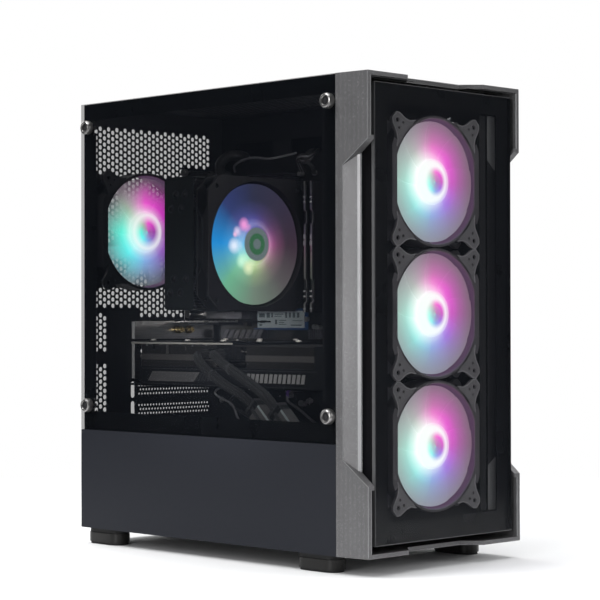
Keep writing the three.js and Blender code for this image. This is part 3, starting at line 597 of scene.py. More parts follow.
class Form:
    """A mesh being made, in millimetres in the case's frame."""

    def __init__(self):
        self.points = []
        self.faces = []
        self.finishes = []
        self.uvs = {}

    def add(self, points, faces, finish=0):
        base = len(self.points)
        self.points += [tuple(p) for p in points]
        self.faces += [tuple(base + i for i in face) for face in faces]
        self.finishes += [finish] * len(faces)

    def box(self, x, y, z, finish=0):
        self.add([(a, b, c) for a in x for b in y for c in z], BOX_FACES, finish)

    def prism(self, outline, axis, low, high, finish=0):
        n = len(outline)
        points = [lift(u, v, t, axis) for t in (low, high) for u, v in outline]
        sides = [(i, (i + 1) % n, n + (i + 1) % n, n + i) for i in range(n)]
        self.add(points, [tuple(range(n)), tuple(range(n, 2 * n)), *sides], finish)

    def sheet(self, outline, holes, axis, low, high, finish=0):
        """A flat plate with holes through it."""
        flat, loops = [], []
        for loop in (outline, *holes):
            loops.append(list(range(len(flat), len(flat) + len(loop))))
            flat += [Vector(p) for p in loop]
        made = delaunay_2d_cdt(flat, [], loops, 1, 1e-5)
        count = len(made[0])
        kept = [face for face, source in zip(made[2], made[5]) if source == [0]]
        points = [lift(p[0], p[1], t, axis) for t in (low, high) for p in made[0]]
        edges = {}
        for face in kept:
            for i, a in enumerate(face):
                b = face[(i + 1) % len(face)]
                edges[(a, b)] = edges.get((a, b), 0) + 1
        rim = [(a, b) for a, b in edges if (b, a) not in edges]
        walls = [(a, b, count + b, count + a) for a, b in rim]
        tops = [tuple(count + i for i in face) for face in kept]
        self.add(points, [tuple(reversed(face)) for face in kept] + tops + walls, finish)

    def lathe(self, profile, centre, axis, sides=24, finish=0):
        """A closed outline of (radius, distance along the axis) turned round the axis through centre."""
        points = []
        for k in range(sides):
            angle = 2 * math.pi * k / sides
            for r, t in profile:
                flat = lift(r * math.cos(angle), r * math.sin(angle), t, axis)
                points.append(tuple(centre[i] + flat[i] for i in range(3)))
        n = len(profile)
        faces = []
        for k in range(sides):
            a, b = k * n, ((k + 1) % sides) * n
            faces += [(a + i, a + (i + 1) % n, b + (i + 1) % n, b + i) for i in range(n)]
        self.add(points, faces, finish)

    def sweep(self, path, radius, sides=10, finish=0):
        """A round tube along a path, with flat ends. Its UVs run along and round it."""
        path = [Vector(p) for p in path]
        base = len(self.points)
        normal = None
        run = 0.0
        for i, point in enumerate(path):
            ahead = path[min(i + 1, len(path) - 1)] - path[max(i - 1, 0)]
            ahead.normalize()
            if normal is None:
                normal = ahead.orthogonal().normalized()
            normal = (normal - ahead * normal.dot(ahead)).normalized()
            across = ahead.cross(normal)
            if i:
                run += (point - path[i - 1]).length
            for k in range(sides):
                angle = 2 * math.pi * k / sides
                spot = point + (normal * math.cos(angle) + across * math.sin(angle)) * radius
                self.uvs[len(self.points)] = (run / 2.0, k / sides)
                self.points.append(tuple(spot))
        rows = len(path)
        faces = []
        for i in range(rows - 1):
            for k in range(sides):
                a, b = base + i * sides + k, base + i * sides + (k + 1) % sides
                faces.append((a, b, b + sides, a + sides))
        faces.append(tuple(base + k for k in range(sides)))
        faces.append(tuple(base + (rows - 1) * sides + k for k in range(sides)))
        self.faces += faces
        self.finishes += [finish] * len(faces)


def set_smooth(mesh, angle=35):
    for polygon in mesh.polygons:
        polygon.use_smooth = True
    mesh.set_sharp_from_angle(angle=math.radians(angle))


def round_edges(thing, width, angle=40, segments=2):
    bevel = thing.modifiers.new("rounded edges", "BEVEL")
    bevel.width = width * MM
    bevel.segments = segments
    bevel.limit_method = "ANGLE"
    bevel.angle_limit = math.radians(angle)
    bevel.harden_normals = True
    bevel.use_clamp_overlap = True


def make(name, form, materials, body, bevel=0.0, stands_for=(), origin=None, smooth=35):
    """Turns a form into a piece that rides on a body. origin moves the piece's own origin there."""
    mesh = bpy.data.meshes.new(name)
    shift = Vector(origin) if origin else Vector((0, 0, 0))
    centre = place(origin) if origin else Vector((0, 0, 0))
    if origin:
        mesh.from_pydata([(Vector(p) - shift) * MM for p in form.points], [], form.faces)
    else:
        mesh.from_pydata([place(p) for p in form.points], [], form.faces)
    for polygon, index in zip(mesh.polygons, form.finishes):
        polygon.material_index = index
    if form.uvs:
        layer = mesh.uv_layers.new(name="along")
        for loop in mesh.loops:
            layer.data[loop.index].uv = form.uvs.get(loop.vertex_index, (0, 0))
    work = bmesh.new()
    work.from_mesh(mesh)
    bmesh.ops.recalc_face_normals(work, faces=work.faces)
    work.to_mesh(mesh)
    work.free()
    for material in materials if isinstance(materials, (list, tuple)) else [materials]:
        mesh.materials.append(material)
    set_smooth(mesh, smooth)
    thing = bpy.data.objects.new(name, mesh)
    bpy.context.scene.collection.objects.link(thing)
    thing.location = centre
    if bevel:
        round_edges(thing, bevel)
    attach(thing, body)
    if stands_for:
        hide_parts(*stands_for)
    return thing


def dress(node, material, bevel=0.0):
    """Gives a CAD node that stays its material and softened edges."""
    thing = frame["nodes"][node]
    thing.data.materials.clear()
    thing.data.materials.append(material)
    if bevel:
        round_edges(thing, bevel)
    return thing


def smooth_path(points, per_leg=8):
    """A Catmull-Rom curve through the points."""
    path = [Vector(p) for p in points]
    ends = [path[0] * 2 - path[1], *path, path[-1] * 2 - path[-2]]
    made = []
    for i in range(1, len(ends) - 2):
        a, b, c, d = ends[i - 1 : i + 3]
        slope = c - a
        bend = 2 * a - 5 * b + 4 * c - d
        twist = 3 * b - a - 3 * c + d
        for k in range(per_leg):
            t = k / per_leg
            made.append(0.5 * ((2 * b) + slope * t + bend * t * t + twist * t**3))
    made.append(path[-1])
    return made


# ---- Case: bezel, glass and sheet metal ----
SIDE_WINDOW = ((53, 372), (132, 423.5))
FRONT_WINDOW = ((-73.5, 77.3), (45.5, 414))
FAN_HOLE = 52.5  # from a fan's middle to its screws, across and up


def hole_grid(u, v, pitch, radius, sides=8, keep=None):
    """Hole centres in staggered upright columns inside a rectangle, as outlines."""
    holes = []
    step = pitch * math.sqrt(3) / 2
    columns = int((u[1] - u[0] - 2 * radius) / step) + 1
    for i in range(columns):
        cu = u[0] + radius + i * step
        cv = v[0] + radius + (pitch / 2 if i % 2 else 0)
        while cv <= v[1] - radius:
            if keep is None or keep(cu, cv):
                holes.append(circle((cu, cv), radius, sides, math.pi / sides))
            cv += pitch
    return holes


def edge_strips(form, x, y, z, finishes):
    """Thin strips on the four edge faces of an upright pane that faces along y, in the finishes given:
    black print, or a painted highlight on the edge.
    """
    t = 0.12
    form.box((x[0] - t, x[0] + 0.02), (y[0] + 0.3, y[1]), (z[0], z[1]), finishes[0])
    form.box((x[1] - 0.02, x[1] + t), (y[0] + 0.3, y[1]), (z[0], z[1]), finishes[1])
    form.box(x, (y[0] + 0.3, y[1]), (z[0] - t, z[0] + 0.02), finishes[2])
    form.box(x, (y[0] + 0.3, y[1]), (z[1] - 0.02, z[1] + t), finishes[2])


def glass_parts():
    x, y, z = span("left_glass_panel")
    dress("left_glass_panel", SIDE_GLASS, 0.5)
    border = Form()
    screws = [circle((sy, sz), 7.5, 20) for sy in (42.5, 378) for sz in (138.5, 416)]
    border.sheet(
        rectangle(y, z), [rectangle(*SIDE_WINDOW, corner=3.0), *screws], "x", x[1] + 0.02, x[1] + 0.18,
    )
    make("side_glass_border", border, CERAMIC_BORDER, "glass_side")
    x, y, z = span("front_glass")
    dress("front_glass", FRONT_GLASS, 0.5)
    border = Form()
    border.sheet(rectangle(x, z), [rectangle(*FRONT_WINDOW, corner=2.0)], "y", y[1] + 0.02, y[1] + 0.18)
    edge_strips(border, x, y, z, (1, 0, 1))
    # Thin lines on the front face along the left, bottom and top edges: painted highlights on the glass
    # edge.
    line = 0.55
    for u, v in (((x[0], x[0] + line), z), (x, (z[0], z[0] + line)), (x, (z[1] - line, z[1]))):
        border.box(u, (y[0] - 0.06, y[0] + 0.04), v, 1)
    make("front_glass_border", border, [CERAMIC_BORDER, GLASS_EDGE_HIGHLIGHT], "bezel_assembly")


def bezel_edge_highlights():
    """Painted highlights along the bezel's edges, bright and dim, and the strip beside the fans with
    painted highlights at its ends.
    """
    form = Form()
    # Sweeps, prisms and boxes in the two highlight finishes: painted highlights on the bezel's edges, the
    # brightest on the recess's front edge.
    for side in (-1, 1):
        outer = [
            (104, 0.3, 17), (104, 0.3, 78.6), (106.5, 28.2, 100.6), (106.5, 28.2, 358.7),
            (104, 0.3, 380.7), (104, 0.3, 439),
        ]
        form.sweep([(side * a, b, c) for a, b, c in outer], 0.42, 6, 1)
        lip = [(98.3, 14.5), (94.7, 16.0), (94.7, 16.8), (98, 15.2)]
        form.prism([(side * a, b) for a, b in lip], "z", 90.5, 369, 0)
        fold = [(99.75, 16.75), (98.3, 14.5), (98.1, 14.9), (99.3, 17.1)]
        form.prism([(side * a, b) for a, b in fold], "z", 91.5, 368, 1)
        for low, high in ((20.5, 76), (383.5, 435.5)):
            form.sweep([(side * 100.3, 0.3, low), (side * 100.3, 0.3, high)], 0.5, 6, 1)
    for zz in (16.5, 439.4):
        form.sweep([(-103.8, 0.3, zz), (-53, 0.3, zz)], 0.35, 6, 1)
        form.sweep([(53, 0.3, zz), (103.8, 0.3, zz)], 0.35, 6, 1)
        form.sweep([(-53, 0.3, zz), (-36, 16, zz), (36, 16, zz), (53, 0.3, zz)], 0.35, 6, 1)
    for low, high in ((-99.8, -36), (36, 99.8)):
        form.box((low, high), (5.2, 9), (435.9, 436.15), 1)
    form.box((-99.8, 99.8), (16, 30), (435.9, 436.15), 1)
    make("painted_bezel_highlights", form, [EDGE_HIGHLIGHT_BRIGHT, EDGE_HIGHLIGHT_DIM], "bezel_assembly")
    # A strip beside the front fans, pale at its ends as painted highlights and charcoal in its middle
    # where they fade, with a dark line beside it.
    strip = Form()
    strip.prism([(72.6, 413.5), (84.5, 413.5), (84.5, 362), (79, 366), (72.6, 372)], "y", 12, 12.6, 0)
    strip.prism([(72.6, 46), (84.5, 46), (84.5, 96), (72.6, 88)], "y", 12, 12.6, 0)
    strip.box((72.6, 84.5), (12.1, 12.5), (86, 374), 1)
    strip.box((63.5, 71.8), (14, 14.6), (46, 413.5), 1)
    make("painted_strip_highlight", strip, [CONNECTOR_AND_STRIP_HIGHLIGHT, DARK_MARK], "bezel_assembly")


def thumbscrew(name, body, tip, axis, sign, material, rim):
    """A knurled thumbscrew: shank, knurled head, bright rim and a recessed dark centre."""
    form = Form()
    shank = 9 if axis == "x" else 6
    head = 6.5

    def t(distance):
        return sign * distance

    form.lathe([(0.01, 0), (1.6, t(0.3)), (2, t(0.9)), (2, t(shank)), (0.01, t(shank))], tip, axis, 16, 0)
    knurls = 40
    points = []
    rings = [(6.6, shank), (6.95, shank + 0.7), (6.95, shank + head - 1.7), (6.2, shank + head - 0.5)]
    for r, d in rings:
        for k in range(knurls * 2):
            reach = r - (0.28 if k % 2 and r > 6.7 else 0)
            angle = math.pi * k / knurls
            flat = lift(reach * math.cos(angle), reach * math.sin(angle), t(d), axis)
            points.append(tuple(tip[i] + flat[i] for i in range(3)))
    n = knurls * 2
    faces = [
        (i * n + k, i * n + (k + 1) % n, (i + 1) * n + (k + 1) % n, (i + 1) * n + k)
        for i in range(3) for k in range(n)
    ]
    form.add(points, [*faces, tuple(range(n))], 1)
    face = shank + head
    bright_rim = [(6.2, 0.5), (5.4, 0), (4.3, 0.1), (3.9, 0.6), (3.9, 2.2), (6.0, 2.2)]
    form.lathe([(r, t(face - depth)) for r, depth in bright_rim], tip, axis, 40, 1)
    socket = [(3.95, 2.2), (2.4, 1.9), (1.9, 1.1), (0.01, 1.1), (0.01, 2.6), (3.95, 2.6)]
    form.lathe([(r, t(face - depth)) for r, depth in socket], tip, axis, 24, 2)
    make(
        name + "_piece", form, [material, rim, PLASTIC_BLACK], body, stands_for=(name,), origin=tip,
    )


def thumbscrews():
    for end in ("front", "rear"):
        for level in ("lower", "upper"):
            name = f"glass_screw_{end}_{level}"
            x, y, z = span(name)
            thumbscrew(name, name, (x[1], middle(y), middle(z)), "x", -1, BARE_METAL, CHROME)
    for level in ("lower", "upper"):
        name = f"panel_screw_{level}"
        x, y, z = span(name)
        thumbscrew(
            name, name, (middle(x), y[0], middle(z)), "y", 1, BLACK_METAL, BLACK_METAL,
        )


SLOT_PITCH = 20.32
LOWEST_SLOT = 131.5
SLOT_LEFT = -43


def slot_height(i):
    return LOWEST_SLOT + SLOT_PITCH * i


def rear_panel():
    x, y, z = span("rear_panel")
    sheet_y = (y[1] - 1.2, y[1])
    left, right = x
    glass_x = left + 2.9
    seam = 114
    outline = [(left, z[0]), (right, z[0]), (right, z[1]), (glass_x, z[1]), (glass_x, seam), (left, seam)]
    psu = span("psu_case")
    psu_hole = rectangle((psu[0][0] + 3, psu[0][1] - 3), (psu[2][0] + 3, psu[2][1] - 3), 3)
    io_hole = rectangle((30, 78.5), (223.5, 381), 1)
    slots = [
        rectangle((SLOT_LEFT + 8, 68), (slot_height(i) - 6.5, slot_height(i) + 6.5), 1.5)
        for i in range(5)
    ]
    screws = [circle((99, sz), 2.6, 12) for sz in (92, 372)]
    fan_x, _, fan_z = span("rear_fan_frame")
    fan = (middle(fan_x), middle(fan_z))
    fan_corners = [(fan[0] + a, fan[1] + b) for a in (-FAN_HOLE, FAN_HOLE) for b in (-FAN_HOLE, FAN_HOLE)]
    fan_screws = [circle(corner, 2.3, 10) for corner in fan_corners]

    def vent(u, v):
        if any(math.hypot(u - a, v - b) < 8 for a, b in fan_corners):
            return False
        if v > 386:
            return u < 71
        return u < 26 and (v > 236 or u > -32)

    vents = hole_grid((-97, 72), (226, 423.5), 6.3, 2.7, 6, vent)
    strip = [h for zz in ((130, 181), (191, 233)) for h in hole_grid((-91.4, -74), zz, 6.3, 2.7, 6)]
    form = Form()
    slots += [
        rectangle((-43.6, -38.2), (slot_height(i) - 8.4, slot_height(i) + 8.4), 2.3)
        for i in (0, 1)
    ]
    form.sheet(outline, [psu_hole, io_hole, *slots, *screws, *fan_screws, *vents, *strip], "y", *sheet_y)
    form.box((x[0] + 2.9, x[0] + 4.1), (y[0], sheet_y[0]), (118, 438))
    power_supply_screws = [(a, b) for a in (-70, 70) for b in (29, 97)]
    head = [(0.01, 0), (3.4, 0), (3.6, 0.4), (2.6, 1.2), (0.01, 1.2)]
    for u, v in fan_corners + power_supply_screws:
        form.lathe(head, (u, y[1], v), "y", 16, 1)
    make(
        "rear_panel_sheet", form, [STEEL_BLACK, BLACK_METAL], "chassis",
        stands_for=("rear_panel",),
    )


def slot_cover(name, index):
    """A perforated cover for an empty expansion slot."""
    x, y, z = span(name)
    form = Form()
    centre = slot_height(index)
    holes = []
    for row, dz in enumerate((4.3, 0, -4.3)):
        holes += [
            circle((u, centre + dz), 1.25, 8)
            for u in [-33.5 + 3.95 * k + (1.9 if row == 1 else 0) for k in range(25)]
        ]
    form.sheet(rectangle((x[0] + 5.6, x[1] - 2), z, 1.5), holes, "y", y[1] - 1, y[1])
    form.box((x[1] - 6, x[1]), (y[1] - 1, y[1]), (centre - 5, centre + 5))
    make(name + "_piece", form, STEEL_BLACK, "chassis", 0.25, stands_for=(name,))


def top_panel():
    x, y, z = span("top_panel")
    filter_x, filter_y, filter_z = span("top_filter")
    form = Form()
    vents = hole_grid((filter_x[0] + 8, filter_x[1] - 8), (filter_y[0] + 8, filter_y[1] - 8), 7.4, 3.0, 8)
    left = x[0]
    form.sheet(rectangle((left, x[1]), y), vents, "z", z[1] - 1.2, z[1])
    form.box((x[1] - 1.2, x[1]), y, (z[1] - 12, z[1] - 1.2))
    form.box((left, left + 1.2), (y[0] + 22, y[1] - 14), (z[0], z[1] - 1.2))
    make("top_panel_sheet", form, STEEL_BLACK, "chassis", stands_for=("top_panel",))
    frame_form = Form()
    frame_form.sheet(
        rectangle(filter_x, filter_y, 4),
        [
            rectangle((filter_x[0] + 7, filter_x[1] - 7), (filter_y[0] + 7, filter_y[1] - 7), 2)
        ], "z", *filter_z,
    )
    step = 1.9
    low, high = filter_z[0] + 0.4, filter_z[0] + 0.75
    for k in range(1, int((filter_x[1] - filter_x[0] - 14) / step)):
        u = filter_x[0] + 7 + k * step
        frame_form.box((u - 0.3, u + 0.3), (filter_y[0] + 6.5, filter_y[1] - 6.5), (low, high), 1)
    for k in range(1, int((filter_y[1] - filter_y[0] - 14) / step)):
        v = filter_y[0] + 7 + k * step
        frame_form.box(
            (filter_x[0] + 6.5, filter_x[1] - 6.5), (v - 0.3, v + 0.3), (low + 0.1, high + 0.1), 1,
        )
    make(
        "top_filter_mesh", frame_form, [PLASTIC_BLACK, FILTER_MESH], "top_filter",
        stands_for=("top_filter",),
    )


def top_underside():
    """The filter's mesh as it shows through the top panel's vent, with a faint blue sheen."""
    form = Form()
    vents = hole_grid((-97, -60), (90, 330), 5.2, 1.9, 6)
    form.sheet(rectangle((-98.5, -58), (84, 336)), vents, "z", 437.9, 438.6)
    make("top_inner_mesh", form, BLUE_SHEEN, "chassis")


def feet():
    for end in ("front", "rear"):
        for side in ("left", "right"):
            node = f"foot_{end}_{side}"
            x, y, z = span(node)
            form = Form()
            r = (x[1] - x[0]) / 2
            for low, high, inset, finish in ((0, 2.2, 1.6, 0), (2.2, 11.5, 0.4, 1), (11.5, z[1], 1.2, 0)):
                form.prism(
                    rectangle(
                        (x[0] + inset, x[1] - inset), (y[0] + inset, y[1] - inset), r - inset - 0.01, 8,
                    ),
                    "z", low, high, finish,
                )
            make(
                node + "_piece", form, [RUBBER, FOOT_CAP], "chassis", 0.5,
                stands_for=(node,),
            )


def case_parts():
    dress("front_bezel", GUNMETAL, 0.7)
    # The inner frame is near-black: its own black plastic, darkened further as painted shade in the gap
    # beside the glass.
    dress("bezel_inner_frame", SHADE_LINER, 0.5)
    bezel_edge_highlights()
    dress("left_lower_panel", STEEL_PANEL, 0.4)
    dress("right_side_panel", STEEL_PANEL, 0.4)
    dress("bottom_pan", STEEL_BLACK, 0.2)
    dress("front_plate", STEEL_BLACK, 0.2)
    dress("motherboard_tray", STEEL_BLACK, 0.3)
    dress("psu_shroud", STEEL_BLACK, 0.3)
    dress("drive_cage", STEEL_BLACK, 0.2)
    dress("psu_case", STEEL_BLACK, 0.3)
    dress("psu_switch", PLASTIC_SATIN, 0.4)
    dress("psu_filter", FILTER_MESH, 0.3)
    dress("power_button", PLASTIC_SATIN, 0.4)
    dress("front_io_module", BLACK_METAL, 0.15)
    glass_parts()
    thumbscrews()
    rear_panel()
    slot_cover("slot_cover_1", 0)
    slot_cover("slot_cover_2", 1)
    top_panel()
    top_underside()
    feet()


# ---- Fans ----
def motor_arms(form, centre_x, centre_z, reach, y):
    """Four arms from the motor out to the ring."""
    for k in range(4):
        angle = math.pi / 8 + k * math.pi / 2
        out = Vector((math.cos(angle), math.sin(angle)))
        side = Vector((-out.y, out.x))
        arm = [
            out * 18 - side * 2.4, out * reach - side * 2.0, out * reach + side * 2.0,
            out * 18 + side * 2.4,
        ]
        form.prism([(centre_x + p.x, centre_z + p.y) for p in arm], "y", *y)


def fan_frame(node, body, materials):
    """A ring with a kite-shaped ear at each corner, and arms behind that hold the motor."""
    x, y, z = span(node)
    centre = (middle(x), 0, middle(z))
    half = (x[1] - x[0]) / 2
    bore = 57 * half / 60 if half < 62 else 61.8
    thick = y[1] - y[0]
    form = Form()
    lip = min(half - 0.3, bore + 2.6)
    front = [(bore + 0.7, y[0]), (lip, y[0]), (half - 0.2, y[0] + 1.2), (half - 0.2, y[0] + 3.6)]
    waist = [(lip - 0.3, y[0] + 4.6), (lip - 0.3, y[1] - 4.6)]
    back = [(half - 0.2, y[1] - 3.6), (half - 0.2, y[1] - 0.8), (lip, y[1]), (bore + 0.7, y[1])]
    inside = [(bore, y[1] - 1), (bore, y[0] + 1.2)]
    form.lathe(front + waist + back + inside, centre, "y", 64)
    # The bore's inner wall in finish 4: a painted glow standing in for the lamps' light on it.
    wall = (y[0] + 1.3, y[1] - 4)
    form.lathe(
        [(bore - 0.06, wall[0]), (bore + 0.3, wall[0]), (bore + 0.3, wall[1]), (bore - 0.06, wall[1])],
        centre, "y", 64, 4,
    )
    for side in (-1, 1):
        arc = [math.radians(33 - 66 * k / 12) for k in range(13)]
        flat = [(half - 3, -37), (half - 0.1, -30), (half - 0.1, 30), (half - 3, 37)] + [
            ((bore + 0.5) * math.cos(t), (bore + 0.5) * math.sin(t))
            for t in arc
        ]
        form.prism([(centre[0] + side * u, centre[2] + v) for u, v in flat], "y", y[0] + 0.2, y[1] - 0.2)
        lip_x = sorted((centre[0] + side * (half - 0.15), centre[0] + side * 53.2))
        form.prism(rectangle(lip_x, (centre[2] - 27, centre[2] + 27), 1.2), "y", y[0] + 0.1, y[0] + 1.6)
    reach = FAN_HOLE * math.sqrt(2)
    shrink = (half - 60) * math.sqrt(2)
    side_of_ear = [
        (58.3, 17.5), (62.5, 11.8), (68, 8.6), (73, 7.4), (77.5, 6.2), (80.6, 3.6 + shrink * 0.3),
    ]
    for k in range(4):
        angle = math.pi / 4 + k * math.pi / 2
        out = Vector((math.cos(angle), math.sin(angle)))
        side = Vector((-out.y, out.x))
        mid = Vector((centre[0], centre[2]))

        def at(r, s):
            p = mid + out * r + side * s
            return (p.x, p.y)

        line = [at(r, -s) for r, s in side_of_ear] + [at(r, s) for r, s in reversed(side_of_ear)]
        kite = [*line, at(bore + 0.9, 8.5), at(bore + 0.7, 0), at(bore + 0.9, -8.5)]
        screw = circle(at(reach, 0), 2.2, 14)
        dimples = [circle(at(reach - 6.4, s), 1.35, 10) for s in (-3.6, 3.6)]
        form.sheet(kite, [screw, *dimples], "y", y[0], y[0] + 3.4, 2)
        form.sheet(kite, [screw, *dimples], "y", y[1] - 3.4, y[1])
        # Dark discs inside the screw hole and dimples: painted shade in the holes.
        for place_of_hole, r in (
            (at(reach, 0), 2.6), (at(reach - 6.4, -3.6), 1.8), (at(reach - 6.4, 3.6), 1.8),
        ):
            form.prism(circle(place_of_hole, r, 12), "y", y[0] + 1.7, y[0] + 2.9, 3)
        # A thin rim along each ear's outline; on the front fans it is pale, a painted highlight.
        form.sweep([(u, y[0] + 0.15, v) for u, v in line], 0.6, 6, 1)
    if thick > 20:
        form.lathe(
            [
                (0.01, y[1] - 4), (20.5, y[1] - 4), (21, y[1] - 3.4), (21, y[1] - 0.4), (20, y[1]),
                (0.01, y[1]),
            ],
            centre, "y", 32,
        )
        motor_arms(form, centre[0], centre[2], bore + 1, (y[1] - 3, y[1] - 0.4))
    make(node + "_piece", form, materials, body, 0.3, stands_for=(node,))


def square_fan_frame(node, body, material):
    """The cooler's fan frame: a square plate front and back with cut corners, and a ring between them."""
    x, y, z = span(node)
    cx, cz = middle(x), middle(z)
    half = (x[1] - x[0]) / 2
    near = half - 15
    corners = [
        (-near, -half), (near, -half), (half, -near), (half, near),
        (near, half), (-near, half), (-half, near), (-half, -near),
    ]
    outline = [(cx + u, cz + v) for u, v in corners]
    bore = circle((cx, cz), 61.8, 72)
    screws = [circle((cx + a, cz + b), 2.2, 12) for a in (-55, 55) for b in (-55, 55)]
    form = Form()
    for low, high in ((y[0], y[0] + 3), (y[1] - 3, y[1])):
        form.sheet(outline, [bore, *screws], "y", low, high)
    form.sheet(circle((cx, cz), half - 0.5, 72), [bore], "y", y[0] + 2.9, y[1] - 2.9)
    form.lathe(
        [(0.01, y[1] - 3), (20, y[1] - 3), (20.5, y[1] - 0.5), (0.01, y[1] - 0.5)], (cx, 0, cz), "y", 32,
    )
    motor_arms(form, cx, cz, 62.5, (y[1] - 2.8, y[1] - 0.4))
    make(node + "_piece", form, material, body, 0.5, stands_for=(node,))


def falloff(g, radius, stops):
    """A value that changes with the radius, from (millimetres, value) stops."""
    share = g.maths("DIVIDE", radius, ROTOR_REACH)
    return g.ramp(share, [(r / ROTOR_REACH, (value, value, value)) for r, value in stops])


def around(colours):
    """Evenly spread stops for a full turn, counter-clockwise from the right, closing on itself."""
    count = len(colours)
    return [(k / count, colours[k % count]) for k in range(count + 1)]


def bright(colour):
    """A screen colour (0 to 255) as the linear light it stands for."""
    shares = [c / 255 for c in colour]
    return tuple(c / 12.92 if c <= 0.04045 else ((c + 0.055) / 1.055) ** 2.4 for c in shares)


def lit_rotor(name, look, strength, edge_alpha=1.0, spots=()):
    """Frosted plastic lit by lamps round its hub: their colours fade to the edge's, round a white ring.

    spots holds (place, size, colour) of the lamps that show through.
    """
    made, g, shader = new_material(name)
    polar = g.group(POLAR, Centre=(0, 0, 0))
    shifted = g.group(POLAR, Centre=(look["ring_shift"] * MM, 0, 0))
    lamps = g.ramp(polar["Angle"], around([bright(c) for c in look["lamps"]]))
    edge = g.ramp(polar["Angle"], around([bright(c) for c in look["edge"]]))
    shown = g.blend(falloff(g, polar["Radius"], look["fade"]), lamps, edge)
    inside = g.remap(polar["Radius"], *look["ring_inside"])
    outside = falloff(g, shifted["Radius"], look["ring_outside"])
    ring = g.times(inside, outside)
    shown = g.blend(ring, shown, bright(RING_WHITE))
    for radius, soft, amount, colour in look["cap"]:
        near = g.remap(polar["Radius"], radius, radius + soft, amount, 0.0)
        shown = g.blend(near, shown, bright(colour))
    for where, size, colour in spots:
        spot = g.group(POLAR, Centre=(where[0] * MM, 0, where[1] * MM))
        near = g.remap(spot["Radius"], size, size * 0.2)
        shown = g.blend(near, shown, bright(colour))
    grain = g.group(
        GRAIN, Color=(0.035, 0.035, 0.037), Roughness=0.4, Scale=500.0, Mottle=0.15, Unevenness=0.1,
    )
    g.link(grain["Color"], shader["Base Color"])
    g.link(grain["Roughness"], shader["Roughness"])
    g.link(shown, shader["Emission Color"])
    shader["Emission Strength"].default_value = strength
    g.link(g.remap(polar["Radius"], 28.0, 50.0, 1.0, edge_alpha), shader["Alpha"])
    return made


def rotor(node, body, material, blades=9, hub=21.0, sweep=58, axis="y"):
    """A hub with a rounded cap, and wide overlapping blades that lean back as they reach out."""
    x, y, z = span(node)
    joint = next(j for j in frame["joints"] if j["child"] == body)
    centre = (Vector(joint["pos_m"]) - CASE_ORIGIN) / MM
    low, high = (y, z)[axis == "z"]
    depth = high - low
    radius = max(z[1] - z[0], x[1] - x[0]) / 2 if axis == "y" else max(y[1] - y[0], x[1] - x[0]) / 2
    form = Form()
    points, faces = [], []
    rows, columns = 9, 11
    for k in range(blades):
        base = len(points)
        for side in (0, 1):
            for i in range(rows):
                r = hub - 1 + (radius - hub + 1) * i / (rows - 1)
                lean = math.radians(16) * max(0.0, (r - hub) / (radius - hub)) ** 1.3
                for j in range(columns):
                    share = j / (columns - 1) - 0.5
                    angle = 2 * math.pi * k / blades + math.radians(sweep) * share - lean
                    height = 3.4 + (depth - 6.5) * (0.5 - share) * 0.2 + side * 1.1
                    height += 0.9 * (2 * share) ** 2
                    points.append((r * math.cos(angle), height, r * math.sin(angle)))
        count = rows * columns
        for i in range(rows - 1):
            for j in range(columns - 1):
                a = base + i * columns + j
                faces.append((a, a + 1, a + columns + 1, a + columns))
                faces.append((a + count, a + count + columns, a + count + columns + 1, a + count + 1))
        edge = [i * columns for i in range(rows)]
        edge += [(rows - 1) * columns + j for j in range(1, columns)]
        edge += [i * columns + columns - 1 for i in range(rows - 2, -1, -1)]
        edge += list(range(columns - 2, 0, -1))
        for p, q in zip(edge, edge[1:] + edge[:1]):
            faces.append((base + p, base + q, base + count + q, base + count + p))
    profile = [
        (0.01, 0.0), (hub * 0.6, 0.1), (hub * 0.7, 0.35), (hub * 0.86, 0.9), (hub * 0.97, 2.2),
        (hub, 4.2), (hub, depth - 0.5), (hub - 1.5, depth - 0.5), (0.01, depth - 0.8),
    ]
    form.add(points, faces)
    form.lathe(profile, (0, 0, 0), "y", 48)
    if axis == "y":
        form.points = [(u + centre.x, t + low, v + centre.z) for u, t, v in form.points]
    else:
        form.points = [(u + centre.x, centre.y - v, t + low) for u, t, v in form.points]
    origin = (centre.x, middle(y), centre.z) if axis == "y" else (centre.x, centre.y, middle(z))
    make(node + "_piece", form, material, body, stands_for=(node,), origin=origin, smooth=50)


GLOW = 2.5  # makes up for the smoked glass in front of the fans
ROTOR_REACH = 60.0  # the radius at the end of a falloff ramp
RING_WHITE = (250, 254, 252)

# Each rotor's lamps and edge are colours counter-clockwise from the right. fade is how much of the edge's
# colour shows at a radius, and the white ring lies between ring_inside and ring_outside. cap holds
# (radius, softness, amount, colour) of the hub's discs.
FRONT_LOOK = {
    "lamps": [
        (205, 90, 195), (235, 90, 212), (246, 125, 212), (205, 212, 205),
        (180, 252, 236), (150, 248, 242), (145, 175, 232), (165, 118, 226),
    ],
    "edge": [(121, 96, 114), (134, 106, 128), (152, 172, 164), (138, 140, 154)],
    "fade": [(24, 0), (31, 0.22), (37, 0.55), (46, 0.82), (54, 1)],
    "ring_shift": -5,
    "ring_inside": (9, 14, 0, 0.9),
    "ring_outside": [(18, 1), (22, 0.5), (28, 0.1), (32, 0)],
    "cap": [(4, 5, 0.6, (165, 140, 175))],
}
REAR_LOOK = {
    "lamps": [
        (150, 56, 160), (205, 58, 188), (235, 85, 205), (165, 190, 170),
        (100, 246, 222), (100, 246, 246), (130, 175, 230), (145, 100, 190),
    ],
    "edge": [
        (50, 26, 60), (84, 46, 84), (104, 84, 102), (120, 110, 118),
        (104, 145, 141), (106, 140, 146), (114, 122, 128), (60, 60, 90),
    ],
    "fade": [(28, 0), (38, 0.42), (46, 0.75), (54, 1)],
    "ring_shift": -1,
    "ring_inside": (9, 17, 0, 0.75),
    "ring_outside": [(17, 1), (20, 0.65), (25, 0.2), (30, 0)],
    "cap": [(4, 5, 0.5, (165, 110, 170))],
}
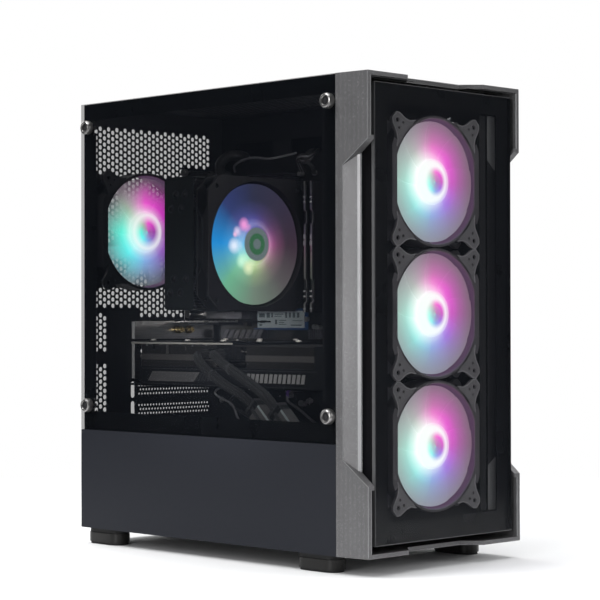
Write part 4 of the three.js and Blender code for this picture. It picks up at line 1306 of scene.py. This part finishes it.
COOLER_LOOK = {
    "lamps": [
        (170, 92, 145), (104, 70, 122), (84, 80, 160), (100, 105, 185),
        (95, 185, 232), (150, 228, 194), (174, 203, 140), (158, 135, 135),
    ],
    "edge": [
        (54, 38, 51), (44, 38, 58), (33, 36, 60), (36, 50, 102),
        (8, 136, 208), (102, 172, 136), (104, 122, 107), (80, 76, 77),
    ],
    "fade": [(22, 0), (27, 0.45), (32, 0.72), (44, 1)],
    "ring_shift": 0,
    "ring_inside": (16, 19, 0, 0.1),
    "ring_outside": [(20, 1), (26, 0)],
    "cap": [(15.9, 1.2, 1, (92, 106, 107)), (10, 1.2, 1, (44, 94, 62)), (4.5, 1.2, 1, (92, 106, 107))],
}
COOLER_LAMPS = [
    ((-14, 19), 8, (236, 150, 214)), ((-23, 12), 6, (214, 200, 236)), (
        (-26, 9), 3.5, (235, 190, 225),
    ), ((-27, -2), 9, (222, 235, 252)),
    ((-17, -17), 8, (196, 246, 215)), ((-8, -23), 9, (222, 236, 190)),
]


def painted_bore_glow():
    """The fan frames' inner wall, with a purple glow painted in as emission for the lamps' light falling
    on it.
    """
    made = finish("painted glow on fan bore", (0.09, 0.08, 0.09), 0.5)
    shader = made.node_tree.nodes["Principled BSDF"].inputs
    shader["Emission Color"].default_value = (0.46, 0.22, 0.5, 1)
    shader["Emission Strength"].default_value = 0.3
    return made


def fans():
    front_glow = lit_rotor("front rotor glow", FRONT_LOOK, GLOW)
    bore = painted_bore_glow()
    for level in ("bottom", "middle", "top"):
        name = f"front_fan_{level}"
        fan_frame(
            name + "_frame", "chassis",
            [PLASTIC_FRAME, EAR_RIM_HIGHLIGHT, EAR_FACE, SHADE_LINER, bore],
        )
        rotor(name + "_rotor", name + "_spinner", front_glow)
    fan_frame(
        "rear_fan_frame", "chassis",
        [PLASTIC_BLACK, PLASTIC_SATIN, PLASTIC_BLACK, SHADE_LINER, bore],
    )
    rotor(
        "rear_fan_rotor", "rear_fan_spinner", lit_rotor("rear rotor glow", REAR_LOOK, GLOW, 0.34),
    )
    square_fan_frame("cooler_fan_frame", "chassis", PLASTIC_BLACK)
    cooler_glow = lit_rotor("cooler rotor glow", COOLER_LOOK, GLOW, 1.0, COOLER_LAMPS)
    rotor("cooler_fan_rotor", "cooler_fan_spinner", cooler_glow)
    for i in (1, 2, 3):
        rotor(
            f"gpu_fan_rotor_{i}", f"gpu_fan_{i}_spinner", PLASTIC_SATIN, 11, 15.0, 30,
            "z",
        )
    rotor("psu_fan_rotor", "psu_fan_spinner", PLASTIC_SATIN, 7, 21.0, 44, "z")


case_parts()
fans()


# ---- Cooler, memory and board ----
BOARD_FACE = 76.0
rng = random.Random(11)


def scatter(form, x_face, y, z, count, keep_out=()):
    """Small surface parts on the board's face: chips, resistors and capacitors standing towards -X."""
    for _ in range(count):
        cy, cz = rng.uniform(*y), rng.uniform(*z)
        if any(b[0] < cy < b[1] and b[2] < cz < b[3] for b in keep_out):
            continue
        kind = rng.random()
        if kind < 0.62:
            a, b, t = rng.choice([(1.6, 0.8, 0.6), (0.8, 1.6, 0.6), (2.0, 1.2, 0.9)])
            form.box(
                (x_face - t, x_face), (cy - a / 2, cy + a / 2), (cz - b / 2, cz + b / 2),
                rng.choice([1, 2, 2]),
            )
        elif kind < 0.85:
            a = rng.uniform(2.5, 5)
            form.box((x_face - 1.1, x_face), (cy - a / 2, cy + a / 2), (cz - a / 2, cz + a / 2), 2)
        else:
            form.lathe(
                [(0.01, -6), (2.3, -6), (2.6, -5.6), (2.6, 0), (0.01, 0)], (x_face, cy, cz), "x", 14, 3,
            )


def motherboard():
    x, y, z = span("motherboard")
    form = Form()
    form.box((BOARD_FACE, x[1]), (144, 388), (132, 376), 0)
    # four memory slots with their end latches
    for yy in (219.7, 210.7, 201.7, 192.7):
        form.box((BOARD_FACE - 7, BOARD_FACE), (yy - 3.2, yy + 3.2), (231, 361), 2)
        for zz in (226.5, 361):
            form.box((BOARD_FACE - 12, BOARD_FACE), (yy - 2.6, yy + 2.6), (zz, zz + 4.5), 4)
    # card slots, power sockets and the processor's plate
    form.box((BOARD_FACE - 8, BOARD_FACE), (228, 318), (196.3, 203.5), 2)
    form.box((BOARD_FACE - 8, BOARD_FACE), (335, 361), (216.8, 223.0), 2)
    form.box((BOARD_FACE - 9, BOARD_FACE), (149, 157), (262, 314), 2)
    form.box((BOARD_FACE - 6, BOARD_FACE), (256, 296), (276, 319), 4)
    form.box((BOARD_FACE - 12, BOARD_FACE), (303, 318), (364, 375), 2)
    # the port shield and the ports through it
    form.box((28.4, 80), (387.2, 387.7), (222.6, 382.6), 8)
    ports = [
        (222, 243, 16), (246, 262, 28), (264, 282, 30), (284, 300, 30), (302, 318, 30), (320, 338, 30),
        (341, 358, 24), (361, 379, 26),
    ]
    for low, high, deep in ports:
        form.sheet(
            rectangle((BOARD_FACE - deep + 1, BOARD_FACE - 1), (low + 3, high)),
            [
                rectangle((BOARD_FACE - deep + 2.5, BOARD_FACE - 2.5), (low + 4.5, high - 1.5))
            ], "y", 379, 390, 5,
        )
        form.box((BOARD_FACE - deep + 2, BOARD_FACE - 1), (368, 380), (low + 3.5, high - 0.5), 5)
    # a metal can below the ports, and its block
    form.lathe(
        [(0.01, 17), (4.1, 17), (4.5, 17.5), (4.5, 28), (3.9, 28.6), (3.9, 36), (0.01, 36)],
        (0, 371, 229.6), "x", 20, 1,
    )
    form.box((36, BOARD_FACE), (362, 380), (224.8, 234), 5)
    # a rod with two collars above the ports, and its block
    form.lathe([(0.01, 20), (2.9, 20), (2.9, 61), (0.01, 61)], (0, 380, 378), "x", 16, 2)
    for low in (19, 56):
        form.lathe(
            [(0.01, low), (3.4, low), (3.6, low + 0.6), (3.6, low + 5), (0.01, low + 5)], (0, 380, 378),
            "x", 16, 1,
        )
    form.box((61, BOARD_FACE), (376, 384), (370, 381), 2)
    # ribbed heatsinks above the processor and beside the ports
    for k in range(9):
        low = 352 + k * 2.5
        form.box((50 + (k % 2) * 2, BOARD_FACE), (262, 345), (low, low + 1.5), 4)
    for k in range(12):
        low = 252 + k * 8.2
        form.box((49 + (k % 3), BOARD_FACE), (338, 361), (low, low + 6.6), 4)
    # the lower heatsink with its slanted stripes, and plugs beside it
    for k in range(7):
        form.prism(
            [(372 - k * 8.6, 204), (366 - k * 8.6, 204), (360 - k * 8.6, 213), (366 - k * 8.6, 213)], "x",
            67.2, 68, 6,
        )
    form.box((68, BOARD_FACE), (312, 374), (203.8, 213.6), 4)
    form.box((64, BOARD_FACE), (338, 366), (224.6, 231.6), 6)
    for k in range(6):
        form.box((62, BOARD_FACE), (220 + k * 3.1, 221.9 + k * 3.1), (204, 213.6), 6)
    # the chipset heatsink and its ribs
    form.box((67, BOARD_FACE), (157, 196), (150, 190), 4)
    for k in range(7):
        form.box((65.5, 67), (158 + k * 5.6, 160.6 + k * 5.6), (151, 189), 6)
    # small plugs along the top edge, then two rows of capacitors
    for k in range(9):
        form.box(
            (68 - (k % 2), BOARD_FACE), (286.5 + k * 4.8, 289.6 + k * 4.8), (370.2, 373.6),
            7 if k % 3 else 1,
        )
    for k in range(7):
        form.lathe(
            [(0.01, -8.5), (2.7, -8.5), (3.1, -8), (3.1, 0), (0.01, 0)], (BOARD_FACE, 300 + k * 8, 346),
            "x", 14, 3,
        )
    for k in range(5):
        form.lathe(
            [(0.01, -9.5), (2.9, -9.5), (3.2, -9), (3.2, 0), (0.01, 0)], (BOARD_FACE, 165 + k * 9, 142),
            "x", 14, 3,
        )
    # board screws
    for yy, zz in (
        (150, 138), (262, 138), (381, 138), (150, 228), (150, 370), (241.5, 373.2), (381, 371),
    ):
        form.lathe(
            [(0.01, -2.2), (2.6, -2.2), (3.2, -1.4), (3.2, 0), (0.01, 0)], (BOARD_FACE, yy, zz), "x", 16,
            1,
        )
    clear = [
        (186, 226, 222, 368), (245, 332, 206, 238), (254, 298, 262, 332), (225, 320, 194, 206),
        (303, 388, 203, 388),
    ]
    scatter(form, BOARD_FACE, (147, 385), (135, 373), 620, clear)
    finishes = [
        BOARD, BARE_METAL, PLASTIC_BLACK, CAN_TOP, GREY_METAL, BARE_METAL, HEATSINK_STRIPE, CONNECTOR_AND_STRIP_HIGHLIGHT,
        BLACK_METAL,
    ]
    make("motherboard_board", form, finishes, "chassis", stands_for=("motherboard",))


def memory():
    """Two sticks with black spreaders and a stepped bright edge towards the glass."""
    for i in (1, 2):
        node = f"ram_stick_{i}"
        x, y, z = span(node)
        mid = middle(y)
        edge = [
            (38.2, 231), (38.2, 239), (40.4, 242), (40.4, 262), (39.0, 265), (39.0, 318), (40.4, 321),
            (40.4, 331), (38.6, 333.5), (38.6, 352), (38.2, 361.6),
        ]
        for_body = [(u + 0.7, v) for u, v in edge] + [(x[1], 361.4), (x[1], 231.2)]
        form = Form()
        form.prism(for_body, "y", y[0] + 0.3, mid - 0.6, 0)
        form.prism(for_body, "y", mid + 0.6, y[1] - 0.3, 0)
        form.box((39.5, x[1]), (mid - 0.6, mid + 0.6), (231.6, 361.2), 2)
        band = edge + [(u + 1.3, v) for u, v in reversed(edge)]
        form.prism(band, "y", mid - 0.9, mid + 0.9, 1)
        for low in (233.6, 246, 251, 297.5, 304, 340, 345):
            form.box(
                (37.95 if low < 300 else 38.2, 39.2), (mid - 1.2, mid + 1.2),
                (low, low + (4.6 if 290 < low < 310 else 1.6)), 3,
            )
        for k in range(5):
            low = 244 + k * 22
            groove = [(44 + k % 2 * 3, low), (66, low + 4), (66, low + 5.2), (44 + k % 2 * 3, low + 1.2)]
            form.prism(groove, "y", y[0] - 0.01, y[0] + 0.35, 4)
            form.prism(groove, "y", y[1] - 0.35, y[1] + 0.01, 4)
        make(
            node + "_piece", form, [BLACK_METAL, STRIP_METAL, BOARD, CONNECTOR_AND_STRIP_HIGHLIGHT, GREY_METAL], "chassis",
            0.15, stands_for=(node,),
        )


def drive():
    x, y, z = span("m2_drive")
    form = Form()
    form.box((x[0] + 0.9, x[0] + 1.7), y, z, 1)
    form.box((x[0] + 0.1, x[0] + 0.9), (y[0] + 4.6, y[1] - 6.6), (z[0] + 2.2, z[1] - 2.4), 0)
    form.box((x[0] + 0.1, x[1]), (y[1] - 5.4, y[1]), (z[0] + 2, z[1] - 2), 2)
    form.lathe(
        [(0.01, -1.2), (2.6, -1.2), (2.9, -0.6), (2.9, 1.4), (0.01, 1.4)],
        (x[0] + 1.0, y[0] + 1.6, middle(z)), "x", 16, 3,
    )
    bars = [
        (0.04, 0.16, 0.62, 0.86), (0.2, 0.27, 0.6, 0.9), (0.3, 0.34, 0.62, 0.88),
        (0.37, 0.56, 0.78, 0.84), (0.37, 0.52, 0.66, 0.71), (0.6, 0.64, 0.58, 0.92),
        (0.68, 0.72, 0.6, 0.9), (0.76, 0.81, 0.6, 0.9), (0.85, 0.9, 0.6, 0.9),
        (0.06, 0.2, 0.4, 0.45), (0.06, 0.16, 0.28, 0.33), (0.04, 0.1, 0.1, 0.22),
        (0.38, 0.43, 0.2, 0.48), (0.46, 0.62, 0.42, 0.47), (0.46, 0.58, 0.3, 0.35),
        (0.46, 0.62, 0.18, 0.23), (0.76, 0.96, 0.4, 0.44), (0.72, 0.95, 0.12, 0.19),
    ]
    wide, tall = y[1] - y[0] - 11.2, z[1] - z[0] - 4.6
    for a, b, c, d in bars:
        left, right = y[1] - 6.6 - wide * b, y[1] - 6.6 - wide * a
        form.box(
            (x[0] + 0.04, x[0] + 0.12), (left, right), (z[0] + 2.2 + tall * c, z[0] + 2.2 + tall * d), 4,
        )
    make(
        "m2_drive_piece", form, [LABEL_AND_PLUG_HIGHLIGHT, BLUE_BOARD, PLASTIC_BLACK, BARE_METAL, LABEL_INK], "chassis",
        stands_for=("m2_drive",),
    )


def cooler():
    x, y, z = span("cooler_heatsink")
    left, right = -78.0, 27.6
    form = Form()
    fins = 46
    step = (z[1] - z[0] - 3) / fins
    for k in range(fins):
        low = z[0] + 1.2 + k * step
        form.box((left + 0.6, right - 0.6), (y[0] + 0.4, y[1] - 0.4), (low, low + 0.45), 1)
        form.box((right - 0.6, right), (y[0] + 1.2, y[1] - 1.2), (low, low + step - 0.14), 0)
    form.prism(rectangle((y[0] + 1.2, y[1] - 1.2), (z[0] + 1, z[1] - 1), 2), "x", left, left + 0.7, 0)
    for low in (z[0], z[1] - 1.2):
        form.prism(rectangle((left, right), y, 6), "z", low, low + 1.2, 0)
    # the tips of the heat pipes, with their collars
    for dz, ys in (
        (-48, (274.3, 289)), (-34.5, (266.2, 284)), (33.8, (272.7, 287.5)), (47.6, (267.5, 280.7)),
    ):
        for yy in ys:
            profile = [
                (0.01, -80.6), (1.4, -80.4), (2.6, -79.6), (3.1, -78.6), (3.2, -77), (3.2, 38),
                (0.01, 38),
            ]
            form.lathe(profile, (0, yy, 298 + dz), "x", 16, 2)
            form.lathe(
                [(3.3, -78.7), (4.3, -78.5), (4.6, -77.9), (3.3, -77.9)], (0, yy, 298 + dz), "x", 18, 4,
            )
    # heat pipes bent from the tower to the base
    for yy in (268, 276, 284, 291):
        for side in (-1, 1):
            path = smooth_path(
                [
                    (34, yy, 298 + side * 47), (40, yy, 298 + side * 44), (47, yy, 298 + side * 24),
                    (52, yy, 298 + side * 14), (53, yy, 298),
                ]
            )
            form.sweep(path, 3, 12, 3)
    # the plate behind the fins, the base and its spring screws
    form.box((34, 38.5), (266, 293), (246, 350), 0)
    form.box((46, 62), (258, 294), (279, 317), 4)
    form.box((62, x[1]), (260, 292), (281, 315), 3)
    for zz in (262, 334):
        form.box((56, 60), (262, 290), (zz - 4, zz + 4), 3)
        for yy in (264, 288):
            form.lathe(
                [(0.01, -8), (3.6, -8), (4, -7), (2.2, -5), (2.2, 14), (0.01, 14)], (56, yy, zz), "x", 16,
                3,
            )
    make(
        "cooler_tower", form, [TOWER_SKIN, FIN_METAL, BLACK_METAL, NICKEL_PIPE, GREY_METAL], "chassis",
        stands_for=("cooler_heatsink",),
    )
    clips = Form()
    for side in (-1, 1):
        u = -10.5 + side * 66.2
        for bow in (0, 5.5):
            ends = ((0, 253.4 - bow * 0.3, 63), (0.6, 256 + bow, 48), (1.2, 249 - bow, 24))
            upper = [(u - inwards, yy, 298 + rise) for inwards, yy, rise in ends]
            lower = [(u - inwards, yy, 298 - rise) for inwards, yy, rise in reversed(ends)]
            path = smooth_path([*upper, (u - 1.2, 248 - bow, 298), *lower], 6)
            clips.sweep(path, 0.5, 8)
    make("cooler_clips", clips, GREY_METAL, "chassis")


# ---- Graphics card ----
def slanted(y_low, y_high, z_low, z_high, lean):
    """A parallelogram in the y-z plane that leans towards the rear as it rises."""
    return [(y_low, z_low), (y_high, z_low), (y_high + lean, z_high), (y_low + lean, z_high)]


def graphics_card():
    x, y, z = span("gpu_shroud")
    end = 367
    fan_x, _, _ = span("gpu_fan_rotor_1")
    openings = [circle((middle(fan_x), yy), 43, 40) for yy in (152, 245, 338)]
    shroud = Form()
    # the fan side, then the near wall with its cut corner, the far wall and both ends
    shroud.sheet(rectangle(x, (y[0], y[1])), openings, "z", z[0], z[0] + 2)
    near = [
        (y[0], z[0]), (end, z[0]), (end, z[0] + 14), (end - 5, z[0] + 20), (y[0] + 12, z[0] + 20),
        (y[0] + 12, z[1]), (y[0], z[1]),
    ]
    shroud.prism(near, "x", x[0], x[0] + 2.4)
    shroud.box((x[1] - 2, x[1]), y, (z[0], z[0] + 16))
    shroud.box((x[0] + 0.5, x[1] - 0.5), (y[0], y[0] + 3), (z[0] + 1, z[1]))
    shroud.box((x[0] + 1.2, x[1] - 0.5), (end - 3, end - 0.5), (z[0] + 1, z[0] + 20))
    for yy in (152, 245, 338):
        shroud.lathe(
            [(43, z[0] - 0.6), (44.5, z[0] - 0.6), (45.2, z[0] + 0.2), (43, z[0] + 0.2)],
            (middle(fan_x), yy, 0), "z", 48,
        )
    make(
        "gpu_shroud_piece", shroud, PLASTIC_SATIN, "chassis", 0.6,
        stands_for=("gpu_shroud",),
    )
    side = x[0]
    form = Form()
    # a plain plate with a raised face, slanted marks, a row of bars and two fine lines
    badge = [(285.3, 162.3), (354, 162.3), (347, 171.9), (275.7, 171.9)]
    form.prism(badge, "x", side - 0.25, side + 0.1, 0)
    form.prism(
        [(288, 163.6), (350.5, 163.6), (345.5, 170.6), (281, 170.6)], "x", side - 0.4, side - 0.2, 1,
    )
    for k in range(7):
        form.prism(
            slanted(255.5 + k * 4.3, 257.6 + k * 4.3, 163.2, 171.2, -5), "x", side - 0.15, side + 0.1, 2,
        )
    for k in range(13):
        low = 131 + k * 6.2
        form.prism(slanted(low, low + 4.3, 163.2, 171.8, -1.6), "x", side - 0.25, side + 0.1, 3)
    form.box((side - 0.12, side + 0.1), (112, 362), (174.4, 175.2), 2)
    form.box((side - 0.12, side + 0.1), (118, 364), (159.2, 159.7), 2)
    make(
        "gpu_side_marks", form, [GREY_PRINT, GREY_PLATE, DARK_MARK, PALE_PRINT], "chassis",
    )
    fins = Form()
    hx, hy, hz = span("gpu_heatsink")
    # two stacks of fins, each fin with a folded band at its near end painted lighter as a highlight
    for low, high, pitch in ((117, 217, 1.45), (262, 372, 1.45)):
        for k in range(int((high - low) / pitch)):
            yy = low + k * pitch
            fins.box((hx[0], hx[1]), (yy, yy + 0.4), (176.2, 197.6), 0)
            fins.box((hx[0] - 0.35, hx[0] + 0.1), (yy, yy + pitch - 0.25), (183.4, 189.2), 1)
    fins.box((hx[0], hx[1]), (hy[0] + 2, hy[1] - 2), (197.4, hz[1]), 0)
    for zz in (180, 193):
        for shift in (0, 8):
            path = [(hx[0] + 6 + shift, 120, zz), (hx[0] + 6 + shift, 372, zz)]
            fins.sweep(path, 3, 12, 2)
    for yy in (226, 236, 246):
        fins.box((hx[0] + 3, hx[0] + 40), (yy, yy + 5), (184, 197), 3)
    make(
        "gpu_fins", fins, [FIN_DARK, FIN_FOLD_HIGHLIGHT, NICKEL_PIPE, PLASTIC_BLACK], "chassis",
        stands_for=("gpu_heatsink",),
    )
    board = Form()
    bx, by, bz = span("gpu_board")
    board.box(bx, by, bz, 0)
    board.box((bx[0] - 0.12, bx[0] + 0.05), by, bz, 1)
    board.box((-48.8, -30), (231, 254), (186, 199.2), 2)
    # small parts under the board's near edge
    for k in range(24):
        yy = 262 + k * 4.9 + rng.uniform(-1, 1)
        tall = rng.choice([1.6, 2.4, 3.4, 5.2])
        wide = rng.choice([1.4, 2.2, 3.2])
        board.box(
            (-47 + rng.uniform(0, 3), -42), (yy, yy + wide), (bz[0] - tall, bz[0]),
            rng.choice([3, 3, 4, 2]),
        )
    board.box((-48.6, -46.8), (326.6, 328.6), (189.7, 199.2), 3)
    for yy in (336.7, 344):
        board.lathe(
            [(0.01, -8), (3.2, -8), (3.7, -7.3), (3.7, 0), (0.01, 0)], (-40, yy, bz[0]), "z", 16, 4,
        )
    make(
        "gpu_board_piece", board, [BOARD, GOLD_EDGE, PLASTIC_BLACK, STRIP_METAL, CAN_TOP], "chassis",
        stands_for=("gpu_board",),
    )
    plate = Form()
    px, py, pz = span("gpu_backplate")
    holes = [slanted(low, low + 34, -30 + k * 9, -26 + k * 9, 6) for low in (120, 165) for k in range(9)]
    plate.sheet(
        rectangle((px[0], px[1]), (py[0], py[1]), 3), [[(v, u) for u, v in hole] for hole in holes], "z",
        pz[0], pz[1], 0,
    )
    for yy in (143.8, 197.2, 247.5, 300, 352):
        for xx in (px[0] + 4.5, px[1] - 6):
            plate.lathe(
                [
                    (0.01, pz[1]), (2.9, pz[1]), (2.9, pz[1] + 0.7), (2.2, pz[1] + 1.5),
                    (0.01, pz[1] + 1.5),
                ],
                (xx, yy, 0), "z", 16, 1,
            )
    make(
        "gpu_backplate_piece", plate, [GREY_METAL, GOLD_EDGE], "chassis", 0.2,
        stands_for=("gpu_backplate",),
    )


def cards():
    for node, slots in (("gpu_bracket", (159, 182)), ("wifi_card", (213,))):
        x, y, z = span(node)
        form = Form()
        left, right = -43, 70
        if node == "gpu_bracket":
            holes = [circle((-30 + 5.6 * k, zz), 1.9, 6) for zz in (186, 191.5) for k in range(16)]
            holes += [rectangle((20, 36), (164 + k * 9, 170 + k * 9), 0.8) for k in range(2)]
        else:
            holes = [circle((u, 213.4), 3.1, 14) for u in (18.8, 33.5)]
        form.sheet(
            rectangle((left, right), z, 0.8), holes, "y", y[1] - 1 if node == "gpu_bracket" else 388.5,
            389.5, 0,
        )
        form.box((left, left + 1.2), (384.9, 388.6), z, 0)
        # A white strip on the bracket's bent edge: a painted highlight.
        form.box((left - 0.15, left + 0.3), (384.8, 388.5), (z[0] + 0.6, z[1] - 0.6), 5)
        if node == "wifi_card":
            pcb = 220.9
            form.box((15.5, 62), (292, 388.4), (pcb, pcb + 1.4), 1)
            form.box((61, 67.4), (340, 356), (pcb, pcb + 1.4), 2)
            form.box((20, 55), (326, 372), (pcb - 2.4, pcb), 3)
            form.box((15.3, 15.55), (292, 388), (pcb + 0.1, pcb + 1.3), 4)
            for u in (18.8, 33.5):
                form.lathe(
                    [
                        (1.2, 381), (3.0, 381), (3.0, 384), (4.1, 384.4), (4.1, 387.6), (3.0, 388),
                        (3.0, 389.2), (1.2, 389.2),
                    ],
                    (u, 0, 213.4), "y", 18, 2,
                )
            for k in range(14):
                yy = 296 + k * 6.3
                form.box((16.5, 19), (yy, yy + 1.6), (pcb + 1.4, pcb + 2.3), 4)
        make(
            node + "_piece", form, [BARE_METAL, BOARD, GOLD, GREY_METAL, STRIP_METAL, EDGE_HIGHLIGHT_BRIGHT], "chassis",
            stands_for=(node,),
        )


# ---- Leads ----
def bundle(form, path, offsets, radius, finish=0, twist=0.0):
    """Parallel sleeved wires that keep their places in a bundle along the path."""
    path = [Vector(p) for p in path]
    frames = []
    normal = None
    for i in range(len(path)):
        ahead = (path[min(i + 1, len(path) - 1)] - path[max(i - 1, 0)]).normalized()
        if normal is None:
            normal = (Vector((1, 0, 0)) - ahead * ahead.x).normalized()
        normal = (normal - ahead * normal.dot(ahead)).normalized()
        frames.append((normal, ahead.cross(normal)))
    for a, b in offsets:
        line = []
        for i, point in enumerate(path):
            turn = twist * i / (len(path) - 1)
            u, v = a * math.cos(turn) - b * math.sin(turn), a * math.sin(turn) + b * math.cos(turn)
            line.append(point + frames[i][0] * u + frames[i][1] * v)
        form.sweep(line, radius, 8, finish)


WIRE_PLACES = [(0, 0)] + [
    (3.15 * math.cos(math.radians(60 * k)), 3.15 * math.sin(math.radians(60 * k)))
    for k in range(6)
]
UPPER_LEADS = [
    [
        (-48, 240, 190), (-53, 240, 190), (-66, 239, 190), (-74, 228, 188.5), (-76, 212, 180),
        (-75, 186, 167), (-74, 160, 152.6), (-71, 145, 137),
    ],
    [
        (-48, 262, 190), (-53, 262, 190), (-66, 261, 189), (-75, 250, 184), (-78, 234, 174),
        (-77, 210, 161), (-75, 190, 152), (-71, 175, 140),
    ],
]
LOWER_LEADS = [
    [
        (-70, 126.1, 119.2), (-70.5, 121.5, 114.7), (-73, 118, 98), (-74, 140, 74), (-72, 196, 64),
        (-60, 236, 62), (-60, 246, 62),
    ],
    [
        (-70, 156.9, 122.4), (-71, 152.3, 117.9), (-82, 145, 100), (-86, 164, 84), (-78, 206, 80),
        (-60, 236, 82), (-60, 246, 82),
    ],
]
PLUG_PLACES = [(-70, 137.3, 130), (-70, 168.1, 133.2)]
PLUG_LEAN = math.radians(44)


def plug_block(form, centre):
    """Two mated connector halves with a latch, leaning along the lead. finish 1 body, 2 the half painted
    lighter as a highlight, 4 a pale edge strip as a painted highlight.
    """
    c, s = math.cos(PLUG_LEAN), math.sin(PLUG_LEAN)

    def turned(points):
        return [
            (p[0] + centre[0], centre[1] + p[1] * c - p[2] * s, centre[2] + p[1] * s + p[2] * c)
            for p in points
        ]

    # The finish 2 half and the finish 4 edge strip are painted highlights on the dark connector.
    for x, y, z, finish in (
        ((-6.4, 6.0), (-14.0, 6.4), (-8.8, 8.8), 2), ((-6.1, 5.8), (6.8, 15.6), (-8.2, 8.2), 1),
        ((-6.9, -6.3), (-9, 10), (-2, 2), 3), ((-6.3, 5.9), (6.3, 6.9), (-8.4, 8.4), 3),
        ((-6.3, 6.0), (12.6, 15.2), (-8.5, 8.5), 3), ((-6.5, -6.2), (-13.8, 6.2), (6.6, 8.9), 4),
    ):
        form.add(turned([(a, b, d) for a in x for b in y for d in z]), BOX_FACES, finish)


def power_leads():
    for i, (route, end, place_of_plug) in enumerate(zip(UPPER_LEADS, LOWER_LEADS, PLUG_PLACES), 1):
        form = Form()
        path = smooth_path(route, 7)
        bundle(form, path, WIRE_PLACES, 1.6, 0, 0.9)
        plug_block(form, place_of_plug)
        form.box((-53, -48.2), (route[0][1] - 7.5, route[0][1] + 7.5), (185, 195.4), 1)
        for at in (9, 30):
            spot = path[at]
            form.lathe(
                [(4.9, -1.4), (5.3, -1.1), (5.3, 1.1), (4.9, 1.4)], (spot.x, spot.y, spot.z), "y", 20, 3,
            )
        make(
            f"gpu_lead_{i}_piece", form, [SLEEVE, PLASTIC_SATIN, PLUG_HIGHLIGHT_GREY, DARK_MARK, LABEL_AND_PLUG_HIGHLIGHT], "chassis",
            stands_for=(f"gpu_lead_{i}",),
        )
        low = Form()
        bundle(low, smooth_path(end, 6), WIRE_PLACES, 1.6, 0, -0.8)
        make(f"psu_lead_{i}_piece", low, SLEEVE, "chassis", stands_for=(f"psu_lead_{i}",))


def small_leads():
    """Fan and board leads, each held at both ends."""
    form = Form()
    # a thick ribbed lead at the top rear corner
    ribbed = smooth_path(
        [
            (84, 352, 396), (72, 350, 397), (62, 356, 396), (58, 364, 388), (62, 366, 378),
            (70, 362, 374.5),
        ],
        10,
    )
    form.sweep(ribbed, 4.6, 14, 0)
    for k in range(2, len(ribbed) - 2):
        spot, ahead = ribbed[k], (ribbed[k + 1] - ribbed[k - 1]).normalized()
        form.sweep([spot - ahead * 0.5, spot + ahead * 0.5], 5.4, 14, 0)
    form.sweep(
        smooth_path(
            [
                (68, 352, 380), (60, 344, 385.5), (58, 326, 391), (58, 308, 391.5), (60, 290, 389.5),
                (84, 276, 396),
            ],
            8,
        ),
        1.2, 8, 1,
    )
    # thin leads from the board's top edge to the tray
    for shift in range(5):
        d = shift * 1.9
        path = smooth_path(
            [
                (70, 258 - d, 375), (62 - d * 0.6, 254 - d, 386), (60, 246 + d * 0.5, 391 - d),
                (66, 240, 391.5 - d), (84, 243 + d * 0.4, 398),
            ],
            8,
        )
        form.sweep(path, 0.85, 8, 1 if shift % 2 else 0)
    for shift in range(3):
        d = shift * 2.0
        form.sweep(
            smooth_path(
                [
                    (72, 236 + d, 372), (66, 234 + d, 379), (62, 239 + d, 386), (70, 246 + d, 392),
                    (84, 250 + d, 399),
                ],
                8,
            ),
            0.8, 8, 0,
        )
    # leads below the graphics card, down to the power supply's cover
    right = [
        (60, 243, 152), (44, 239.5, 152), (32, 237, 148), (30, 234, 142), (30, 218, 134), (30, 197, 122),
        (36, 186, 113.6),
    ]
    form.sweep(smooth_path(right, 8), 1.3, 8, 1)
    form.sweep(
        smooth_path([(60, 246, 154), (46, 242, 155), (34, 238.6, 152), (30.5, 236, 147)], 6), 1.7, 8, 2,
    )
    left = [
        (40, 316, 157), (14, 313, 155), (0, 309, 151), (0, 305, 146), (2, 286, 138), (2, 278, 125),
        (6, 270, 113.6),
    ]
    form.sweep(smooth_path(left, 8), 1.2, 8, 1)
    form.sweep(
        smooth_path([(42, 312, 150), (18, 300, 146), (4, 290, 138), (4, 262, 126), (8, 240, 113.6)], 8),
        1.6, 8, 0,
    )
    # the front fans' leads
    for z in (108.7, 228.7, 348.7):
        form.sweep(
            smooth_path(
                [
                    (52, 36.4, z - 44), (66, 44, z - 46), (80, 70, z - 44),
                    (84, 104, 230 if z > 200 else 205),
                ],
                8,
            ),
            1.3, 8, 0,
        )
    make("small_leads", form, [WIRE, WIRE_GREY, WIRE_VIOLET], "chassis")


motherboard()
memory()
drive()
cooler()
graphics_card()
cards()
power_leads()
small_leads()

bpy.context.scene.view_settings.view_transform = "Standard"
